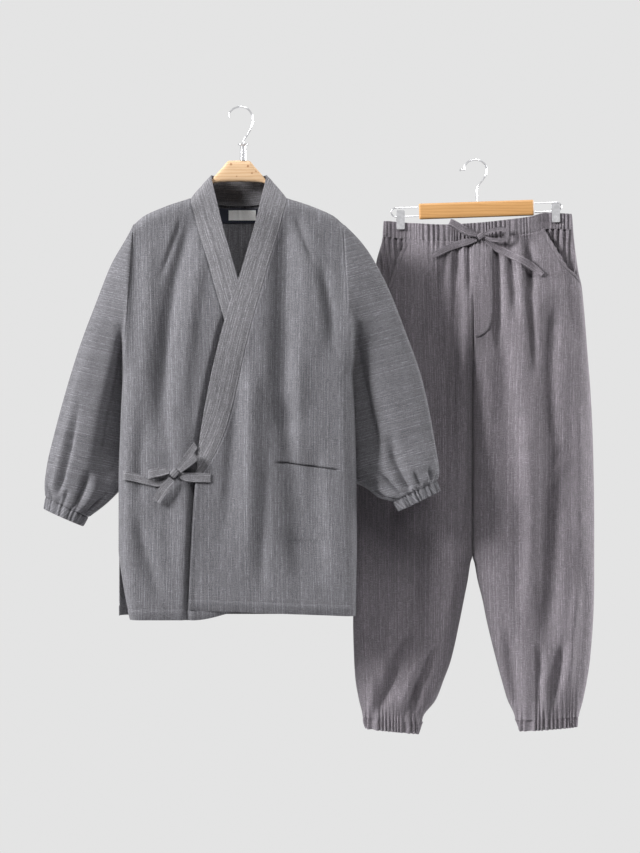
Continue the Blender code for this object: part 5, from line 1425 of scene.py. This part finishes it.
SLAT_TILT = math.radians(2.0)
WIRE_SPREAD, WIRE_REACH = 8.4, 161.0
RING = np.arange(32) * 2 * math.pi / 32


def metal(name, places, faces, smooth_angle=60):
    """A plated part that stands for the node of that name."""
    return mesh_shell(name + "_fine", places, faces, CHROME, (name,), smooth_angle)


def rounded_bar(name, centres, up, deep, high, squareness, material):
    """A bar with a rounded section of changing size, closed by rounded ends."""
    y = np.sign(np.cos(RING)) * abs(np.cos(RING)) ** squareness
    h = np.sign(np.sin(RING)) * abs(np.sin(RING)) ** squareness
    side = np.array([0, 1.0, 0])
    places = (centres[:, None] + side * (y * deep[:, None])[..., None]
              + up[:, None] * (h * high[:, None])[..., None]).reshape(-1, 3)
    faces = ring_faces(len(centres), len(RING))
    return mesh_shell(name + "_fine", places, faces, material, (name,), 60)


def rounded_ends(places, reach):
    """Share of full size near both ends of a bar, from evenly placed stations."""
    gone = np.minimum(places - places[0], places[-1] - places)
    return np.sqrt(1 - (1 - np.clip(gone / reach, 0, 1)) ** 2) * 0.94 + 0.06


def smooth_route(route, y, count):
    """Evenly spread points of a smooth curve through a hook's own points."""
    x, z = np.array(route, float).T
    gone = np.concatenate([[0], np.cumsum(np.hypot(np.diff(x), np.diff(z)))])
    spread = {"at": gone, "x": x, "z": z}
    at = np.linspace(0, gone[-1], count)
    return points(along(spread, "at", "x", at), y, along(spread, "at", "z", at))


def wire(name, route, radius, sides=16):
    return metal(name, *tube(route, radius, sides))


def jacket_hanger():
    out = np.concatenate([-178 + 10 * np.linspace(0, 1, 14) ** 2, np.linspace(-166, 166, 170),
                          178 - 10 * np.linspace(1, 0, 14) ** 2])
    top, bottom, half = (along(HANGER_WOOD, "out", c, abs(out)) for c in ("top", "bottom", "half_y"))
    ends = rounded_ends(out, 5.0)
    centres = points(CENTRE + out, 0.0, (top + bottom) / 2)
    up = np.tile([0.0, 0, 1], (len(out), 1))
    high = (top - bottom) / 2 * ends
    rounded_bar("jacket_hanger_wood", centres, up, half * ends, high, 0.62, PINE)
    turns = np.arange(40) * 2 * math.pi / 40
    rings = np.concatenate([points(FERRULE_X + r * np.cos(turns), r * np.sin(turns), z)
                            for r, z in zip(FERRULE["radius"], FERRULE["z"])])
    metal("jacket_hanger_ferrule", rings, ring_faces(len(FERRULE["z"]), 40), 40)
    wire("jacket_hanger_hook", smooth_route(JACKET_HOOK, 0.0, 150), HOOK_WIRE)


def slat_point(l, y, h):
    """A place on the clip hanger: l along it, h above its middle."""
    x = SLAT["x"] + l * math.cos(SLAT_TILT) - h * math.sin(SLAT_TILT)
    z = SLAT["z"] + l * math.sin(SLAT_TILT) + h * math.cos(SLAT_TILT)
    return points(x, TROUSER_Y + y, z)


def trouser_hanger():
    long = SLAT["half_length"]
    l = np.concatenate([-long + 6 * np.linspace(0, 1, 10) ** 2, np.linspace(-long + 8, long - 8, 60),
                        long - 6 * np.linspace(1, 0, 10) ** 2])
    ends = rounded_ends(l, 2.5)
    up = np.tile([-math.sin(SLAT_TILT), 0, math.cos(SLAT_TILT)], (len(l), 1))
    rounded_bar("trouser_hanger_slat", slat_point(l, 0.0, 0.0), up, SLAT["half_y"] * ends,
                SLAT["half_height"] * (0.86 + 0.14 * ends), 0.42, HONEY)
    wire("trouser_hanger_hook", smooth_route(TROUSER_HOOK, TROUSER_Y, 180), HOOK_WIRE)
    for name, side in (("left", -1), ("right", 1)):
        turn = np.linspace(math.pi / 2, -math.pi / 2, 24)
        start, bend = long + CLIP_WIRE + 0.4, WIRE_REACH - WIRE_SPREAD
        run = np.linspace(start, bend, 20)[:-1]
        l = np.concatenate([run, bend + WIRE_SPREAD * np.cos(turn), run[::-1]])
        h = np.concatenate([0 * run + WIRE_SPREAD, WIRE_SPREAD * np.sin(turn), 0 * run - WIRE_SPREAD])
        wire("clip_wire_" + name, slat_point(side * l, 0.0, h), CLIP_WIRE)


CLIP_WIDTH, CLIP_PLATE, JAW_HEIGHT = 15.0, 1.0, 36
COIL_RADIUS, COIL_WIRE, COIL_TURNS, COIL_LENGTH = 3.4, 0.8, 6, 12.4
# one jaw seen from the side: distance from the middle plane and height above the jaw's tip
CLIP_JAW = table("offset up", [(5.6, 0.0), (4.0, 14.0), (5.6, 20.0), (6.6, 27.0), (6.2, 36.0)])
CLIPS = {"left": (-143.5, -220.0), "right": (150.5, -206.5)}      # place along the slat, height of the tip


def clips():
    for name, (l, tip) in CLIPS.items():
        x, _, middle = slat_point(l, 0.0, 0.0)
        s, up = np.meshgrid(np.linspace(-0.5, 0.5, 16), np.linspace(0, JAW_HEIGHT, 44))
        corner = np.sqrt(1 - np.clip(1 - np.minimum(up, JAW_HEIGHT - up) / 2.5, 0, 1) ** 2)
        width = CLIP_WIDTH - 3.0 * (1 - corner)
        offset = along(CLIP_JAW, "up", "offset", up) + CLIP_PLATE / 2
        for jaw, side in (("front", -1), ("back", 1)):
            grid = points(x + s * width, TROUSER_Y + side * offset, tip + up)
            ridge = 0.5 * groove(abs(s), 0.42, 0.05) * smooth(up / 4) * smooth((JAW_HEIGHT - up) / 4)
            shell("clip_%s_%s_fine" % (name, jaw), grid, CHROME, slot="chrome", look=look_to(0, side, 0),
                  wall=CLIP_PLATE, relief=ridge, replaces=("clip_%s_%s" % (name, jaw),))
        turn = np.linspace(0, 2 * COIL_TURNS * math.pi, 260)
        coil = points(x - COIL_LENGTH / 2 + COIL_LENGTH * turn / turn[-1],
                      TROUSER_Y + COIL_RADIUS * np.cos(turn), middle + COIL_RADIUS * np.sin(turn))
        wire("clip_%s_spring" % name, coil, COIL_WIRE, 10)


# --- the whole set --------------------
JACKET_LINES, TROUSER_LINES = [], []
CLOTH = {}
for name, side in (("front_over", 1), ("front_under", -1)):
    CLOTH[name] = front(name, side)
for name, side in (("left", -1), ("right", 1)):
    CLOTH["back_" + name] = back("back_" + name, side)
    CLOTH["sleeve_" + name] = sleeve("sleeve_" + name, side)
    CLOTH["cuff_" + name] = sleeve_cuff("cuff_" + name, side)
CLOTH["collar_over"] = collar("collar_over", 1)
CLOTH["collar_under"] = collar("collar_under", -1)
CLOTH["patch_pocket"] = patch_pocket()
CLOTH["neck_patch"], CLOTH["neck_label"] = neck_pieces([CLOTH["back_left"], CLOTH["back_right"]])
for name, piece in jacket_ties(Surface(CLOTH["front_over"], CLOTH["front_under"])).items():
    CLOTH["tie_" + name] = piece

for name, side in (("left", -1), ("right", 1)):
    CLOTH["leg_front_" + name] = leg("leg_front_" + name, side, -1)
    CLOTH["leg_back_" + name] = leg("leg_back_" + name, side, 1)
    CLOTH["pocket_facing_" + name] = pocket_facing("pocket_facing_" + name, side)
    CLOTH["hem_cuff_" + name] = hem_cuff("hem_cuff_" + name, side)
CLOTH["waistband_front"] = waistband("waistband_front", -1)
CLOTH["waistband_back"] = waistband("waistband_back", 1)
TROUSER_FRONT = Surface(CLOTH["leg_front_left"], CLOTH["leg_front_right"], CLOTH["waistband_front"])
CLOTH["fly"] = fly(TROUSER_FRONT)
for name, piece in drawstring(TROUSER_FRONT).items():
    CLOTH["drawstring_" + name] = piece
eyelet(TROUSER_FRONT)
JACKET_THREAD = thread_rows("jacket_stitches", JACKET_LINES, THREAD)
TROUSER_THREAD = thread_rows("trouser_stitches", TROUSER_LINES, THREAD)
jacket_hanger()
trouser_hanger()
clips()


# --- camera, light and floor: metres --------------------
CAMERA_PLACE, LENS, SENSOR = (0.149, -6.0, -0.593), 136.1, 36.0
AIM = (0.15, 0.0, -0.6)            # where the lights point
FLOOR_PLACE, FLOOR_RADIUS = (0.15, 0.1, -1.6), 1.15


def camera():
    data = bpy.data.cameras.new("camera")
    data.sensor_width = SENSOR
    data.lens = LENS
    thing = bpy.data.objects.new("camera", data)
    thing.location = CAMERA_PLACE
    thing.rotation_euler = (math.pi / 2, 0, 0)
    bpy.context.scene.collection.objects.link(thing)
    bpy.context.scene.camera = thing


def softbox(name, place, size, power):
    """A square soft light, turned towards the object."""
    data = bpy.data.lights.new(name, "AREA")
    data.size = size
    data.energy = power
    thing = bpy.data.objects.new(name, data)
    thing.location = place
    way = Vector(AIM) - Vector(place)
    thing.rotation_euler = way.to_track_quat("-Z", "Y").to_euler()
    bpy.context.scene.collection.objects.link(thing)


def world():
    """An even pale grey behind the object, and a dimmer one that lights it."""
    studio = bpy.data.worlds.new("studio")
    bpy.context.scene.world = studio
    studio.use_nodes = True
    tree = studio.node_tree
    tree.nodes.clear()
    seen = tree.nodes.new("ShaderNodeBackground")
    seen.inputs["Color"].default_value = (0.775, 0.775, 0.775, 1)
    lit = tree.nodes.new("ShaderNodeBackground")
    lit.inputs["Color"].default_value = (0.80, 0.80, 0.82, 1)
    lit.inputs["Strength"].default_value = 0.06
    path = tree.nodes.new("ShaderNodeLightPath")
    mix = tree.nodes.new("ShaderNodeMixShader")
    out = tree.nodes.new("ShaderNodeOutputWorld")
    bright = tree.nodes.new("ShaderNodeMath")
    bright.operation = "MAXIMUM"
    tree.links.new(path.outputs["Is Camera Ray"], bright.inputs[0])
    tree.links.new(path.outputs["Is Glossy Ray"], bright.inputs[1])
    tree.links.new(bright.outputs[0], mix.inputs[0])
    tree.links.new(lit.outputs[0], mix.inputs[1])
    tree.links.new(seen.outputs[0], mix.inputs[2])
    tree.links.new(mix.outputs[0], out.inputs[0])


def floor():
    shape = bmesh.new()
    bmesh.ops.create_circle(shape, cap_ends=True, segments=96, radius=FLOOR_RADIUS)
    mesh = bpy.data.meshes.new("floor")
    shape.to_mesh(mesh)
    shape.free()
    g = Graph("floor_paper")
    place = g.add("ShaderNodeTexCoord").outputs["Object"]
    value = g.fit(g.noise(place, 3.0), 0.3, 0.7, 0.97, 1.03)
    mesh.materials.append(g.shade(Base_Color=tinted(g, (0.72, 0.72, 0.73), value), Roughness=0.9))
    thing = bpy.data.objects.new("floor", mesh)
    thing.location = FLOOR_PLACE
    bpy.context.scene.collection.objects.link(thing)


camera()
softbox("key", (-4.6, -2.4, 1.9), 1.8, 600)
softbox("top", (0.6, -2.6, 3.6), 2.0, 120)
softbox("rim", (4.6, 0.8, 0.2), 2.4, 330)
world()
floor()
bpy.context.scene.view_settings.view_transform = "Standard"
